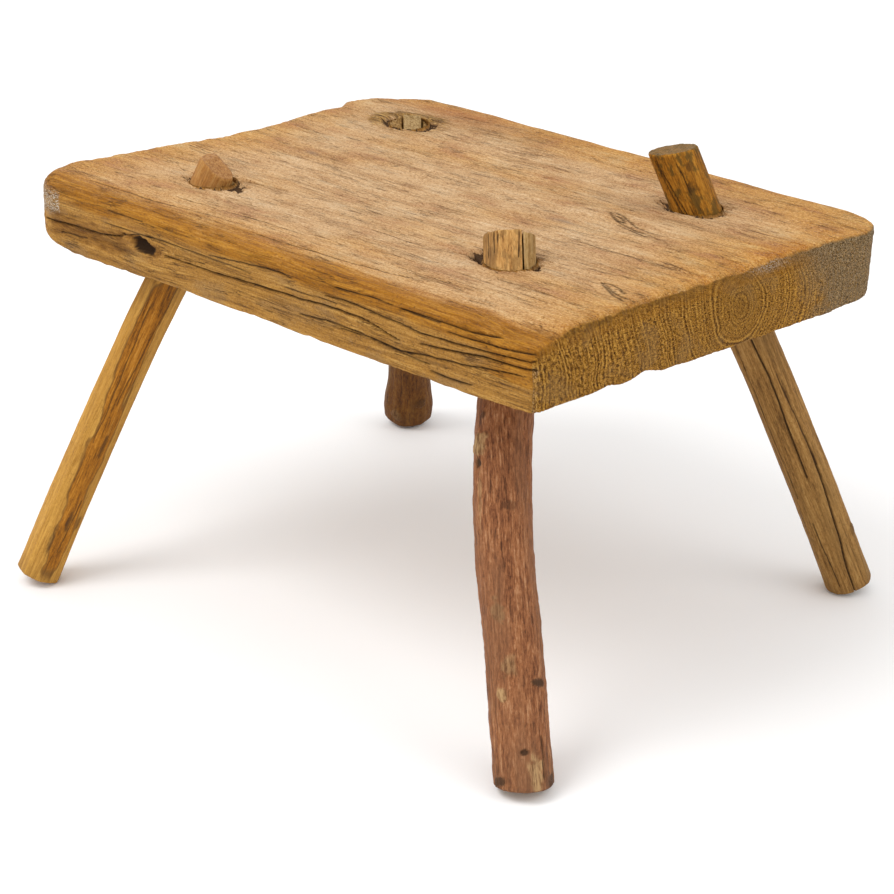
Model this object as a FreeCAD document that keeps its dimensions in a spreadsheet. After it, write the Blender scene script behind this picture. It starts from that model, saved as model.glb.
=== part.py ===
"""Rustic milking stool: a hewn plank seat on four splayed legs whose tenons come up through it.

Millimetres. +X runs along the seat's grain towards its end-grain end, +Z is up, and the origin is
on the floor under the middle of the whole stool.
"""

import FreeCAD, Part
import Sketcher
import math
import os

SEAT_SIZES = (
    ("seat_top", 268, "height of the seat's upper face above the floor"),
    ("seat_thickness", 41, "thickness of the plank"),
    ("front_side_y", -149, "front long side"),
    ("front_left_x", -246, "sharp corner between the front side and the left end"),
    ("front_right_x", 214, "corner between the front side and the right end"),
    ("back_right_x", 235, "sharp corner between the right end and the back side"),
    ("back_right_y", 160, "back long side at its right end"),
    ("notch_x", -170, "where the back side ends at the cut-off corner"),
    ("notch_y", 167, "back long side at its left end"),
    ("back_left_x", -205, "left end of the cut-off corner"),
    ("back_left_y", 136, "left end of the cut-off corner"),
    ("waist_x", -209, "shallow hollow in the left end"),
    ("waist_y", 20, "shallow hollow in the left end"),
    ("front_left_radius", 38, "plan rounding of the front left corner"),
    ("front_right_radius", 5, "plan rounding of the front right corner"),
    ("back_right_radius", 34, "plan rounding of the back right corner"),
    ("bevel_length", 48, "bevel under the left end, along the seat"),
    ("bevel_height", 15, "bevel under the left end, up its end face"),
    ("bevel_inset", 8, "from the front left corner's sharp x to where the bevel starts"),
    ("top_wear_radius", 7, "worn edge round the upper face"),
    ("tenon_depth", 62, "how far the straight tenon runs down each leg"),
    ("fit_gap", 0.05, "radial gap between a tenon and its mortise"),
)

LEG_COLUMNS = (
    ("hole_x", "leg axis at the seat's upper face"),
    ("hole_y", "leg axis at the seat's upper face"),
    ("tilt", "lean from the vertical, degrees"),
    ("turn", "direction in which the foot is splayed, degrees from +X"),
    ("tenon_radius", "radius of the tenon"),
    ("proud", "tenon above the seat's upper face, along the leg"),
    ("shaft_radius", "radius at the middle of the shaft"),
    ("foot_radius", "radius at the foot"),
    ("foot_lift", "angle between the sawn foot and the floor, degrees"),
    ("bow_out", "bend of the shaft in the direction of its splay"),
    ("bow_side", "bend of the shaft to the side"),
)

LEG_SIZES = {
    "left": (-131.5, -73.5, 26.0, -119.4, 13.5, 16, 13, 14.5, 25, 3.5, 0),
    "front": (111, -56, 29.4, -42.0, 15.5, 15, 16.7, 17.5, 16, 0, -7),
    "right": (127, 97, 22.9, 47.5, 15, 42.5, 14, 14.5, 20, 2.5, 0),
    "rear": (-136, 109, 21.7, 135.6, 13.5, -6, 13.5, 19, 20, 0, 0),
}

TIP_SIZES = (
    ("bow_station", 0.4, "where the shaft bends most, as a share of the leg's length"),
    ("foot_flat", 6, "breadth of the worn flat on which each foot stands"),
    ("left_tip_slope", 34, "slope of the bevel that points the left tenon, degrees"),
    ("left_tip_turn", 5, "direction in which that bevel rises, degrees about the leg"),
    ("left_tip_drop", 11, "bevel's depth below the tip, at the leg's axis"),
    ("right_top_slope", 14, "slope of the right tenon's sawn top, degrees"),
    ("shim_gap", 0.05, "gap between a shim and the flat on its tenon"),
    ("front_shim_flat", 6.2, "flat on the front tenon, from the leg's axis"),
    ("front_shim_turn", 90, "direction that the flat faces, degrees about the leg"),
    ("front_shim_depth", 30, "how far the shim is driven below the seat's face"),
    ("front_shim_top", 14, "shim's top above the seat's face"),
    ("left_shim_flat", 8.5, "flat on the left tenon, from the leg's axis"),
    ("left_shim_turn", 180, "direction that the flat faces, degrees about the leg"),
    ("left_shim_depth", 26, "how far the shim is driven below the seat's face"),
    ("left_shim_top", 4, "shim's top above the seat's face"),
    ("wedge_top_width", 13, "thickness of the rear wedge at its top"),
    ("wedge_tip_width", 8, "thickness of the rear wedge at its tip"),
    ("wedge_breadth", 22, "breadth of the rear wedge across the split"),
    ("wedge_top", -1, "top of the rear wedge, along the leg"),
    ("wedge_offset", -2.5, "middle of the rear wedge, from the leg's axis"),
    ("wedge_depth", 34, "how far the split runs below the seat's face"),
)

CUTTER = 120.0  # side of a cutting cube, larger than any piece that it trims
OVERSHOOT = 20  # how far an open-ended cut runs past the solid
ORIGIN_TURN = "rotation(vector(0; 0; 1); 0)"

doc = FreeCAD.newDocument("milking_stool")


def make_sheet():
    """The driving dimensions: name in A, value in B, meaning in C."""
    sheet = doc.addObject("Spreadsheet::Sheet", "Sizes")
    rows = list(SEAT_SIZES)
    for leg, values in LEG_SIZES.items():
        for (column, meaning), value in zip(LEG_COLUMNS, values):
            rows.append((f"{leg}_{column}", value, f"{leg} leg: {meaning}"))
    rows.extend(TIP_SIZES)
    for row, (alias, value, meaning) in enumerate(rows, start=1):
        sheet.set(f"A{row}", alias)
        sheet.set(f"B{row}", str(value))
        sheet.setAlias(f"B{row}", alias)
        sheet.set(f"C{row}", meaning)
    doc.recompute()
    return sheet


def new_body(name):
    body = doc.addObject("PartDesign::Body", name)
    body.Label = name
    return body


def origin_plane(body, role):
    for feature in body.Origin.OriginFeatures:
        if feature.Role == role:
            return feature
    raise ValueError(f"{body.Label} has no {role}")


def new_sketch(body, name, role="XY_Plane", height=None):
    """A sketch on one of the body's origin planes, lifted by an expression if one is given."""
    sketch = body.newObject("Sketcher::SketchObject", name)
    sketch.AttachmentSupport = [(origin_plane(body, role), "")]
    sketch.MapMode = "FlatFace"
    if height is not None:
        sketch.setExpression(".AttachmentOffset.Base.z", height)
    return sketch


def pin(sketch, edge, vertex, across, up):
    """Ties a vertex of the sketch to the sheet by its two distances from the sketch's origin."""
    for kind, expression in (("DistanceX", across), ("DistanceY", up)):
        spot = sketch.getPoint(edge, vertex)
        value = spot.x if kind == "DistanceX" else spot.y
        index = sketch.addConstraint(Sketcher.Constraint(kind, -1, 1, edge, vertex, value))
        sketch.setExpression(f"Constraints[{index}]", expression)


def draw_polygon(sketch, corners):
    """A closed outline through corners given as pairs of expressions over the sheet."""
    spots = [FreeCAD.Vector(sheet_value(x), sheet_value(y), 0) for x, y in corners]
    count = len(spots)
    for index in range(count):
        sketch.addGeometry(Part.LineSegment(spots[index], spots[(index + 1) % count]), False)
    for index in range(count):
        following = (index + 1) % count
        sketch.addConstraint(Sketcher.Constraint("Coincident", index, 2, following, 1))
    for index, (x, y) in enumerate(corners):
        pin(sketch, index, 1, x, y)


def draw_circle(sketch, radius, across="0", up="0"):
    centre = FreeCAD.Vector(sheet_value(across), sheet_value(up), 0)
    circle = Part.Circle(centre, FreeCAD.Vector(0, 0, 1), sheet_value(radius))
    sketch.addGeometry(circle, False)
    index = sketch.addConstraint(Sketcher.Constraint("Radius", 0, sheet_value(radius)))
    sketch.setExpression(f"Constraints[{index}]", radius)
    pin(sketch, 0, 3, across, up)


def sheet_value(expression):
    """The present value of an expression over the sheet, for a sketch's first drawing."""
    return float(sheet.evalExpression(expression))


def pad(body, name, sketch, length, both_ways=False):
    feature = body.newObject("PartDesign::Pad", name)
    feature.Profile = sketch
    feature.SideType = "Symmetric" if both_ways else "One side"
    feature.setExpression("Length", length)
    return feature


def cutter_box(body, name, placement):
    """Takes away a large cube whose own corner and directions are set by the placement."""
    feature = body.newObject("PartDesign::SubtractiveBox", name)
    feature.Length = feature.Width = feature.Height = CUTTER
    feature.setExpression("Placement", placement)
    return feature


def round_edges(body, name, picks, radius):
    """Fillets the edges of the body that the test picks."""
    doc.recompute()
    base = body.Tip
    edges = [f"Edge{i}" for i, edge in enumerate(base.Shape.Edges, start=1) if picks(edge)]
    if not edges:
        raise ValueError(f"{name} found no edge")
    fillet = body.newObject("PartDesign::Fillet", name)
    fillet.Base = (base, edges)
    fillet.setExpression("Radius", radius)
    doc.recompute()
    return fillet


def upright_at(x, y):
    """A test for the vertical edge that stands at a corner of the outline."""

    def picks(edge):
        middle = edge.CenterOfMass
        reach = math.hypot(middle.x - sheet_value(x), middle.y - sheet_value(y))
        return reach < 1.0 and edge.BoundBox.ZLength > 1.0

    return picks


def on_upper_face(edge):
    box = edge.BoundBox
    thickness = sheet_value("Sizes.seat_thickness")
    return abs(box.ZMin - thickness) < 0.01 and abs(box.ZMax - thickness) < 0.01


def along_leg(leg, shift=""):
    """Placement of a leg: its own Z climbs the leg from the floor side to the seat's upper face."""
    spot = f"vector(Sizes.{leg}_hole_x; Sizes.{leg}_hole_y; Sizes.seat_top{shift})"
    turn = f"rotation(vector(0; 0; 1); Sizes.{leg}_turn)"
    lean = f"rotation(vector(0; 1; 0); -Sizes.{leg}_tilt)"
    return f"placement({spot}; {turn} * {lean})"


def flat_placement(leg, gap):
    """Placement of a cube that starts at the flat of a shim and lies beyond it."""
    shim = f"Sizes.{leg}_shim"
    turn = f"placement(vector(0; 0; -{shim}_depth); rotation(vector(0; 0; 1); {shim}_turn))"
    return f"{turn} * placement(vector({shim}_flat - {gap}; {-CUTTER / 2}; 0); {ORIGIN_TURN})"


def make_seat():
    body = new_body("seat_slab")
    outline = new_sketch(body, "seat_outline")
    corners = (
        ("Sizes.front_left_x", "Sizes.front_side_y"),
        ("Sizes.front_right_x", "Sizes.front_side_y"),
        ("Sizes.back_right_x", "Sizes.back_right_y"),
        ("Sizes.notch_x", "Sizes.notch_y"),
        ("Sizes.back_left_x", "Sizes.back_left_y"),
        ("Sizes.waist_x", "Sizes.waist_y"),
    )
    draw_polygon(outline, corners)
    pad(body, "plank", outline, "Sizes.seat_thickness")
    for name, corner in (("front_left", 0), ("front_right", 1), ("back_right", 2)):
        round_edges(body, f"{name}_corner", upright_at(*corners[corner]), f"Sizes.{name}_radius")

    bevel = new_sketch(body, "bevel_outline", "XZ_Plane")
    end_x = "Sizes.front_left_x + Sizes.bevel_inset"
    rise = f"Sizes.bevel_height * (1 + {OVERSHOOT} / Sizes.bevel_length)"
    draw_polygon(
        bevel,
        (
            (f"{end_x} + Sizes.bevel_length", "0"),
            (f"{end_x} - {OVERSHOOT}", rise),
            (f"{end_x} - {OVERSHOOT}", f"-{OVERSHOOT}"),
            (f"{end_x} + Sizes.bevel_length", f"-{OVERSHOOT}"),
        ),
    )
    under_bevel = body.newObject("PartDesign::Pocket", "under_bevel")
    under_bevel.Profile = bevel
    under_bevel.Type = "ThroughAll"
    under_bevel.SideType = "Symmetric"
    round_edges(body, "worn_top_edge", on_upper_face, "Sizes.top_wear_radius")

    for leg in LEG_SIZES:
        mortise = body.newObject("PartDesign::SubtractiveCylinder", f"{leg}_mortise")
        mortise.setExpression("Radius", f"Sizes.{leg}_tenon_radius + Sizes.fit_gap")
        mortise.Height = CUTTER
        down = f"placement(vector(0; 0; {-CUTTER / 2}); {ORIGIN_TURN})"
        on_plank = along_leg(leg, " - Sizes.seat_top + Sizes.seat_thickness")
        mortise.setExpression("Placement", f"{on_plank} * {down}")
    body.setExpression(".Placement.Base.z", "Sizes.seat_top - Sizes.seat_thickness")
    return body


def make_leg(leg):
    """A straight round tenon, then a shaft lofted through neck, middle and foot."""
    body = new_body(f"leg_{leg}")
    tenon_ring = new_sketch(body, f"{leg}_tenon_ring", height="-Sizes.tenon_depth")
    draw_circle(tenon_ring, f"Sizes.{leg}_tenon_radius")
    pad(body, f"{leg}_tenon", tenon_ring, f"Sizes.tenon_depth + Sizes.{leg}_proud")

    length = f"Sizes.seat_top / cos(Sizes.{leg}_tilt)"
    bow = (f"Sizes.{leg}_bow_out", f"Sizes.{leg}_bow_side")
    straight = ("0", "0")
    stations = (
        ("neck", "-Sizes.tenon_depth", f"Sizes.{leg}_tenon_radius", straight),
        ("middle", f"-Sizes.bow_station * {length}", f"Sizes.{leg}_shaft_radius", bow),
        ("foot", f"-{length} - Sizes.{leg}_foot_radius", f"Sizes.{leg}_foot_radius", straight),
    )
    rings = []
    for station, height, radius, middle in stations:
        ring = new_sketch(body, f"{leg}_{station}_ring", height=height)
        draw_circle(ring, radius, *middle)
        rings.append(ring)
    shaft = body.newObject("PartDesign::AdditiveLoft", f"{leg}_shaft")
    shaft.Profile = rings[0]
    shaft.Sections = rings[1:]

    level = f"placement(vector(0; 0; -{length}); rotation(vector(0; 1; 0); Sizes.{leg}_tilt))"
    below = f"placement(vector({-CUTTER / 2}; {-CUTTER / 2}; {-CUTTER}); {ORIGIN_TURN})"
    cutter_box(body, f"{leg}_floor_cut", f"{level} * {below}")
    heel = f"Sizes.foot_flat - Sizes.{leg}_foot_radius / cos(Sizes.{leg}_tilt)"
    rising = f"placement(vector({heel}; 0; 0); rotation(vector(0; 1; 0); -Sizes.{leg}_foot_lift))"
    beyond = f"placement(vector(0; {-CUTTER / 2}; {-CUTTER}); {ORIGIN_TURN})"
    cutter_box(body, f"{leg}_foot_cut", f"{level} * {rising} * {beyond}")
    body.setExpression("Placement", along_leg(leg))
    return body


def slope_tenon(body, name, height, turn, slope):
    """A sloping cut across a tenon, through its axis at the height given."""
    facing = f"placement(vector(0; 0; {height}); rotation(vector(0; 0; 1); {turn}))"
    rising = f"placement(vector(0; 0; 0); rotation(vector(0; 1; 0); -{slope}))"
    above = f"placement(vector({-CUTTER / 2}; {-CUTTER / 2}; 0); {ORIGIN_TURN})"
    cutter_box(body, name, f"{facing} * {rising} * {above}")


def make_shim(leg, tenon_body):
    """A split-off sliver driven down beside a tenon, which has a flat for it."""
    cutter_box(tenon_body, f"{leg}_shim_flat", flat_placement(leg, "0"))
    body = new_body(f"shim_{leg}")
    ring = new_sketch(body, f"{leg}_shim_ring", height=f"-Sizes.{leg}_shim_depth")
    draw_circle(ring, f"Sizes.{leg}_tenon_radius")
    pad(body, f"{leg}_shim_round", ring, f"Sizes.{leg}_shim_depth + Sizes.{leg}_shim_top")
    behind = flat_placement(leg, f"{CUTTER} + Sizes.shim_gap")
    cutter_box(body, f"{leg}_shim_face", behind)
    body.setExpression("Placement", along_leg(leg))
    return body


def make_rear_wedge(tenon_body):
    """The wedge that spreads the rear tenon, and the tapered split that it fills."""

    def draw_taper(owner, name, top):
        sketch = new_sketch(owner, name, "YZ_Plane")
        widening = "(Sizes.wedge_top_width - Sizes.wedge_tip_width)"
        slope = f"{widening} / (Sizes.wedge_top + Sizes.wedge_depth)"
        half_top = f"(Sizes.wedge_top_width + {slope} * ({top} - Sizes.wedge_top)) / 2"
        half_tip = "Sizes.wedge_tip_width / 2"
        middle = "Sizes.wedge_offset"
        draw_polygon(
            sketch,
            (
                (f"{middle} - {half_tip}", "-Sizes.wedge_depth"),
                (f"{middle} + {half_tip}", "-Sizes.wedge_depth"),
                (f"{middle} + {half_top}", top),
                (f"{middle} - {half_top}", top),
            ),
        )
        return sketch

    split = tenon_body.newObject("PartDesign::Pocket", "rear_split")
    split.Profile = draw_taper(tenon_body, "split_outline", f"Sizes.wedge_top + {OVERSHOOT / 2}")
    split.Type = "ThroughAll"
    split.SideType = "Symmetric"

    body = new_body("wedge_rear")
    taper = draw_taper(body, "wedge_outline", "Sizes.wedge_top")
    pad(body, "wedge_block", taper, "Sizes.wedge_breadth", both_ways=True)
    body.setExpression("Placement", along_leg("rear"))
    return body


def check(bodies):
    doc.recompute()
    for item in doc.Objects:
        if "Invalid" in item.State or "Error" in item.State:
            raise RuntimeError(f"{item.Label} failed: {item.State}")
    for body in bodies:
        shape = body.Shape
        if shape.isNull() or not shape.isValid() or len(shape.Solids) != 1:
            raise RuntimeError(f"{body.Label} is not one valid solid")


def check_cuts(bodies):
    """Every cut takes something away."""
    for body in bodies:
        volume = None
        for feature in body.Group:
            if not feature.isDerivedFrom("PartDesign::Feature"):
                continue
            if feature.TypeId.startswith("PartDesign::Subtractive") or "Pocket" in feature.TypeId:
                if feature.Shape.Volume > volume - 1.0:
                    raise RuntimeError(f"{feature.Label} cuts nothing")
            volume = feature.Shape.Volume


sheet = make_sheet()
seat = make_seat()
legs = {leg: make_leg(leg) for leg in LEG_SIZES}
tip_height = "Sizes.left_proud - Sizes.left_tip_drop"
slope_tenon(legs["left"], "left_tip", tip_height, "Sizes.left_tip_turn", "Sizes.left_tip_slope")
top_height = "Sizes.right_proud - Sizes.right_tenon_radius * tan(Sizes.right_top_slope)"
slope_tenon(legs["right"], "right_top", top_height, "180", "Sizes.right_top_slope")
shims = [make_shim(leg, legs[leg]) for leg in ("left", "front")]
wedge = make_rear_wedge(legs["rear"])

sub_parts = [seat, *legs.values(), *shims, wedge]
check(sub_parts)
check_cuts(sub_parts)

os.makedirs("parts", exist_ok=True)
for body in sub_parts:
    body.Shape.exportStep(f"parts/{body.Label}.step")
    box = body.Shape.BoundBox
    print(f"{body.Label}: {box.XLength:.1f} x {box.YLength:.1f} x {box.ZLength:.1f} mm")
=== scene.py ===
"""Looks of the rustic milking stool: weathered plank, four sticks, two shims and a wedge.

Everything is worked out in millimetres in the CAD's frame (+X along the plank's grain, +Z up) and
written to the meshes in metres. Colours are linear.
"""

import math
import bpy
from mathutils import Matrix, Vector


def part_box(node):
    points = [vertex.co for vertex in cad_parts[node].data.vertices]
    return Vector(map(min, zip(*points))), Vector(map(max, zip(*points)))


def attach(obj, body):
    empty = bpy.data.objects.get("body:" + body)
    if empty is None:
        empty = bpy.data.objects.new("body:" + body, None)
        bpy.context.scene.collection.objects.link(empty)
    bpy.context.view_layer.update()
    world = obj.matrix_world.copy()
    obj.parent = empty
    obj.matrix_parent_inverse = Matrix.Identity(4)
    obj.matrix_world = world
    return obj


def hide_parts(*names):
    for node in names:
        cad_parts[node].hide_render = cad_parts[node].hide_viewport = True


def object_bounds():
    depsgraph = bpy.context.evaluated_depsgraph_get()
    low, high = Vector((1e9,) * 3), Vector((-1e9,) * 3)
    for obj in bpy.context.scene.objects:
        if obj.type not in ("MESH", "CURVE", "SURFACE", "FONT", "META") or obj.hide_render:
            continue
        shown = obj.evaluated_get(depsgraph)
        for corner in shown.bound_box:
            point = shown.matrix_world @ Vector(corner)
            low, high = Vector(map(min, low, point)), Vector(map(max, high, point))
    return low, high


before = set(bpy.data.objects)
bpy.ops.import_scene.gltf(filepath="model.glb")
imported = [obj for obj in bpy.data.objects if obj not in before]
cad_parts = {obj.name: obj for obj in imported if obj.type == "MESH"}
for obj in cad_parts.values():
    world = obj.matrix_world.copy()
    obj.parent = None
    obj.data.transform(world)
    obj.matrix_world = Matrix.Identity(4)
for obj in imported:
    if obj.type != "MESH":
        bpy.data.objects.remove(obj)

from types import SimpleNamespace

import bmesh
import bpy
import numpy as np
from mathutils import Matrix, Vector

CAD_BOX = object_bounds()
MM = 0.001
FAR = 1e9  # farther than any distance met here


def node_box(name):
    """Lowest and highest corner of a CAD node, in millimetres."""
    low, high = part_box(name)
    return np.array(low) / MM, np.array(high) / MM


SEAT_LOW, SEAT_HIGH = node_box("seat_slab")
SEAT_TOP = float(SEAT_HIGH[2])
SEAT_BOTTOM = float(SEAT_LOW[2])
THICKNESS = SEAT_TOP - SEAT_BOTTOM

# Plan of the plank: corners (x, y) and the radius at each, as in the CAD, with the nick and the
# waves of the left end added.
FRONT_Y = float(SEAT_LOW[1])
OUTLINE = (
    (-248.5, FRONT_Y, 37.0),
    (214.0, FRONT_Y, 5.0),
    (235.0, 160.0, 34.0),
    (-171.0, 167.0, 8.0),
    (-203.0, 139.0, 4.0),
    (-211.0, 119.0, 4.0),
    (-204.0, 106.0, 2.0),
    (-207.5, 92.0, 4.0),
    (-205.0, 22.0, 40.0),
    (-216.0, -32.0, 50.0),
)
PITH = (18.0, SEAT_BOTTOM + 21.0)  # (y, z) of the heart of the tree on the plank's end grain

# Legs: place of the axis on the seat's upper face, lean and turn in degrees, radius of the tenon.
LEGS = {
    "left": {"hole": (-131.5, -73.5), "tilt": 26.0, "turn": -119.4, "tenon": 13.5},
    "front": {"hole": (111.0, -56.0), "tilt": 29.4, "turn": -42.0, "tenon": 15.5},
    "right": {"hole": (127.0, 97.0), "tilt": 22.9, "turn": 47.5, "tenon": 15.0},
    "rear": {"hole": (-136.0, 109.0), "tilt": 21.7, "turn": 135.6, "tenon": 13.5},
}


# ---------------------------------------------------------------- numbers


def smoothstep(low, high, value):
    t = np.clip((value - low) / (high - low), 0.0, 1.0)
    return t * t * (3.0 - 2.0 * t)


def hashed(cell, seed):
    """A number from -1 to 1 for each whole-numbered cell."""
    n = cell.astype(np.uint32)
    mixed = n[:, 0] * np.uint32(374761393) + n[:, 1] * np.uint32(668265263)
    mixed = mixed + n[:, 2] * np.uint32(2246822519) + np.uint32((seed * 3266489917) & 0xFFFFFFFF)
    mixed = (mixed ^ (mixed >> np.uint32(13))) * np.uint32(1274126177)
    mixed = (mixed ^ (mixed >> np.uint32(15))) * np.uint32(2246822519)
    mixed = mixed ^ (mixed >> np.uint32(16))
    return (mixed & np.uint32(0xFFFFF)).astype(float) / 524287.5 - 1.0


def lattice(points, seed):
    """Smooth value noise from -1 to 1."""
    cell = np.floor(points).astype(np.int64)
    t = points - cell
    t = t * t * t * (t * (t * 6.0 - 15.0) + 10.0)
    total = np.zeros(len(points))
    for i in (0, 1):
        for j in (0, 1):
            for k in (0, 1):
                share = (t[:, 0] if i else 1.0 - t[:, 0]) * (t[:, 1] if j else 1.0 - t[:, 1])
                share = share * (t[:, 2] if k else 1.0 - t[:, 2])
                total += share * hashed(cell + np.array([i, j, k]), seed)
    return total


def fractal(points, size, seed, octaves=3):
    """Layers of smooth noise whose largest lumps have the size given in millimetres."""
    spots = points / np.array(size, float)
    total = np.zeros(len(points))
    for octave in range(octaves):
        total += lattice(spots * 2.0**octave + 17.3 * octave, seed + octave) * 0.5**octave
    return total


def curve_at(stations, value):
    """A smooth curve through pairs (place, height)."""
    xs, ys = (np.array(column, float) for column in zip(*sorted(stations)))
    slopes = np.gradient(ys, xs)
    index = np.clip(np.searchsorted(xs, value) - 1, 0, len(xs) - 2)
    step = xs[index + 1] - xs[index]
    t = np.clip((value - xs[index]) / step, 0.0, 1.0)
    start, end = ys[index], ys[index + 1]
    bend = (2 * t**3 - 3 * t**2 + 1) * start + (3 * t**2 - 2 * t**3) * end
    return bend + step * ((t**3 - 2 * t**2 + t) * slopes[index] + (t**3 - t**2) * slopes[index + 1])


def path_distance(u, v, path):
    """Distance of points (u, v) to a polyline, and how far along it the nearest spot is, 0 to 1."""
    nearest = np.full(len(u), FAR)
    along = np.zeros(len(u))
    lengths = [math.dist(a, b) for a, b in zip(path, path[1:])]
    whole, done = sum(lengths), 0.0
    for (ax, ay), (bx, by), length in zip(path, path[1:], lengths):
        t = np.clip(((u - ax) * (bx - ax) + (v - ay) * (by - ay)) / length**2, 0.0, 1.0)
        reach = np.hypot(u - ax - t * (bx - ax), v - ay - t * (by - ay))
        closer = reach < nearest
        nearest[closer] = reach[closer]
        along[closer] = (done + t[closer] * length) / whole
        done += length
    return nearest, along


def running_length(points):
    """Length along a row of points up to each of them."""
    return np.concatenate([[0], np.cumsum(np.linalg.norm(np.diff(points, axis=0), axis=1))])


def spots_along(points, lengths, at):
    """Places on a row of plane points, at lengths measured along it."""
    return np.stack([np.interp(at, lengths, points[:, 0]), np.interp(at, lengths, points[:, 1])], 1)


# ---------------------------------------------------------------- meshes


def coordinates(mesh, field="co"):
    flat = np.zeros(len(mesh.vertices) * 3)
    mesh.vertices.foreach_get(field, flat)
    return flat.reshape(-1, 3)


def store(mesh, name, values):
    """Keeps a number or a vector for each vertex, for the materials to read."""
    kind, field = ("FLOAT", "value") if values.ndim == 1 else ("FLOAT_VECTOR", "vector")
    attribute = mesh.attributes.new(name, kind, "POINT")
    attribute.data.foreach_set(field, np.ascontiguousarray(values, dtype=np.float32).ravel())


def new_piece(name, mesh):
    piece = bpy.data.objects.new(name, mesh)
    bpy.context.scene.collection.objects.link(piece)
    return piece


def as_mesh(shape, name):
    """A mesh from a bmesh, which is freed."""
    mesh = bpy.data.meshes.new(name)
    shape.to_mesh(mesh)
    shape.free()
    return mesh


def baked(piece):
    """The piece's mesh with its modifiers applied."""
    graph = bpy.context.evaluated_depsgraph_get()
    return bpy.data.meshes.new_from_object(piece.evaluated_get(graph))


def mesh_of(name, points, faces):
    mesh = bpy.data.meshes.new(name)
    mesh.from_pydata((points * MM).tolist(), [], faces)
    mesh.update()
    return mesh


def ring_faces(rings, count):
    """Quads between neighbouring rings of the same number of points."""
    faces = []
    for row in range(rings - 1):
        one, two = row * count, (row + 1) * count
        for i in range(count):
            j = (i + 1) % count
            faces.append((one + j, one + i, two + i, two + j))
    return faces


def drop(piece):
    mesh = piece.data
    bpy.data.objects.remove(piece)
    bpy.data.meshes.remove(mesh)


def leg_axes(leg):
    """Origin and the three directions (out, side, up the leg) of a leg's own frame."""
    data = LEGS[leg]
    turn, tilt = math.radians(data["turn"]), math.radians(data["tilt"])
    ahead, across = math.cos(turn), math.sin(turn)
    out = np.array([ahead * math.cos(tilt), across * math.cos(tilt), math.sin(tilt)])
    side = np.array([-across, ahead, 0.0])
    up = np.array([-ahead * math.sin(tilt), -across * math.sin(tilt), math.cos(tilt)])
    return np.array([*data["hole"], SEAT_TOP]), out, side, up


def finish_piece(piece, node, material):
    piece.data.materials.clear()
    piece.data.materials.append(material)
    piece.data.shade_smooth()
    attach(piece, "root")
    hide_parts(node)
    return piece


# ---------------------------------------------------------------- plank


def outline_points(step=2.5):
    """The plan as evenly spaced points with their outward normals."""
    spots = []
    count = len(OUTLINE)
    for index, (x, y, radius) in enumerate(OUTLINE):
        here = np.array([x, y])
        before = np.array(OUTLINE[index - 1][:2]) - here
        after = np.array(OUTLINE[(index + 1) % count][:2]) - here
        before, after = before / np.linalg.norm(before), after / np.linalg.norm(after)
        half = math.acos(np.clip(np.dot(before, after), -1, 1)) / 2
        reach = radius / math.tan(half)
        middle = here + (before + after) / np.linalg.norm(before + after) * radius / math.sin(half)
        start, end = here + before * reach - middle, here + after * reach - middle
        first = math.atan2(start[1], start[0])
        sweep = math.remainder(math.atan2(end[1], end[0]) - first, math.tau)
        for part in np.linspace(0, 1, 12):
            angle = first + sweep * part
            spots.append(middle + radius * np.array([math.cos(angle), math.sin(angle)]))
    spots = np.array(spots + [spots[0]])
    lengths = running_length(spots)
    plan = spots_along(spots, lengths, np.arange(0, lengths[-1] - step / 2, step))
    tangent = np.roll(plan, -1, 0) - np.roll(plan, 1, 0)
    tangent /= np.linalg.norm(tangent, axis=1)[:, None]
    return plan, np.stack([tangent[:, 1], -tangent[:, 0]], 1)


BORE_GAP = 0.35  # room between a tenon and its bore
BORE_BELOW, BORE_ABOVE = -80.0, 45.0  # ends of the drill, along the leg from the seat's face
BORE_SIDES = 48


def rounded_plank():
    """The plank's solid, with its rounded edges."""
    plan, normal = outline_points()
    front, back = np.clip(-normal[:, 1], 0, 1) ** 2, np.clip(normal[:, 1], 0, 1) ** 2
    left, right = np.clip(-normal[:, 0], 0, 1) ** 2, np.clip(normal[:, 0], 0, 1) ** 2
    blunt = smoothstep(-40, -110, plan[:, 1])
    upper = 9.0 * front + (6.0 + 7.0 * blunt) * left + 4.0 * right + 5.0 * back
    lower = 1.0 * front + 4.5 * left + 0.8 * right + 1.5 * back
    rings = []
    for part in np.linspace(0, 1, 7):
        angle = part * math.pi / 2
        rings.append((upper * (1 - math.sin(angle)), SEAT_TOP - upper * (1 - math.cos(angle))))
    for part in np.linspace(0, 1, 5):
        angle = part * math.pi / 2
        rings.append((lower * (1 - math.cos(angle)), SEAT_BOTTOM + lower * (1 - math.sin(angle))))
    shape = bmesh.new()
    rows = []
    for inset, height in rings:
        ring = plan - normal * inset[:, None]
        rows.append([shape.verts.new((x, y, z)) for (x, y), z in zip(ring, height)])
    for above, below in zip(rows, rows[1:]):
        for i in range(len(above)):
            j = (i + 1) % len(above)
            shape.faces.new((above[j], above[i], below[i], below[j]))
    shape.faces.new(rows[0])
    shape.faces.new(rows[-1][::-1])
    return as_mesh(shape, "plank_blank")


def bores():
    """Four slanting cylinders, one for each mortise."""
    cutter = bmesh.new()
    for leg in LEGS:
        origin, out, side, up = leg_axes(leg)
        radius = LEGS[leg]["tenon"] + BORE_GAP
        ends = []
        for height in (BORE_BELOW, BORE_ABOVE):
            ring = []
            for angle in np.linspace(0, math.tau, BORE_SIDES, endpoint=False):
                spot = origin + up * height + (out * math.cos(angle) + side * math.sin(angle)) * radius
                ring.append(cutter.verts.new(spot))
            ends.append(ring)
        for i in range(BORE_SIDES):
            j = (i + 1) % BORE_SIDES
            cutter.faces.new((ends[0][i], ends[0][j], ends[1][j], ends[1][i]))
        cutter.faces.new(ends[0][::-1])
        cutter.faces.new(ends[1])
    return as_mesh(cutter, "bores")


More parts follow.
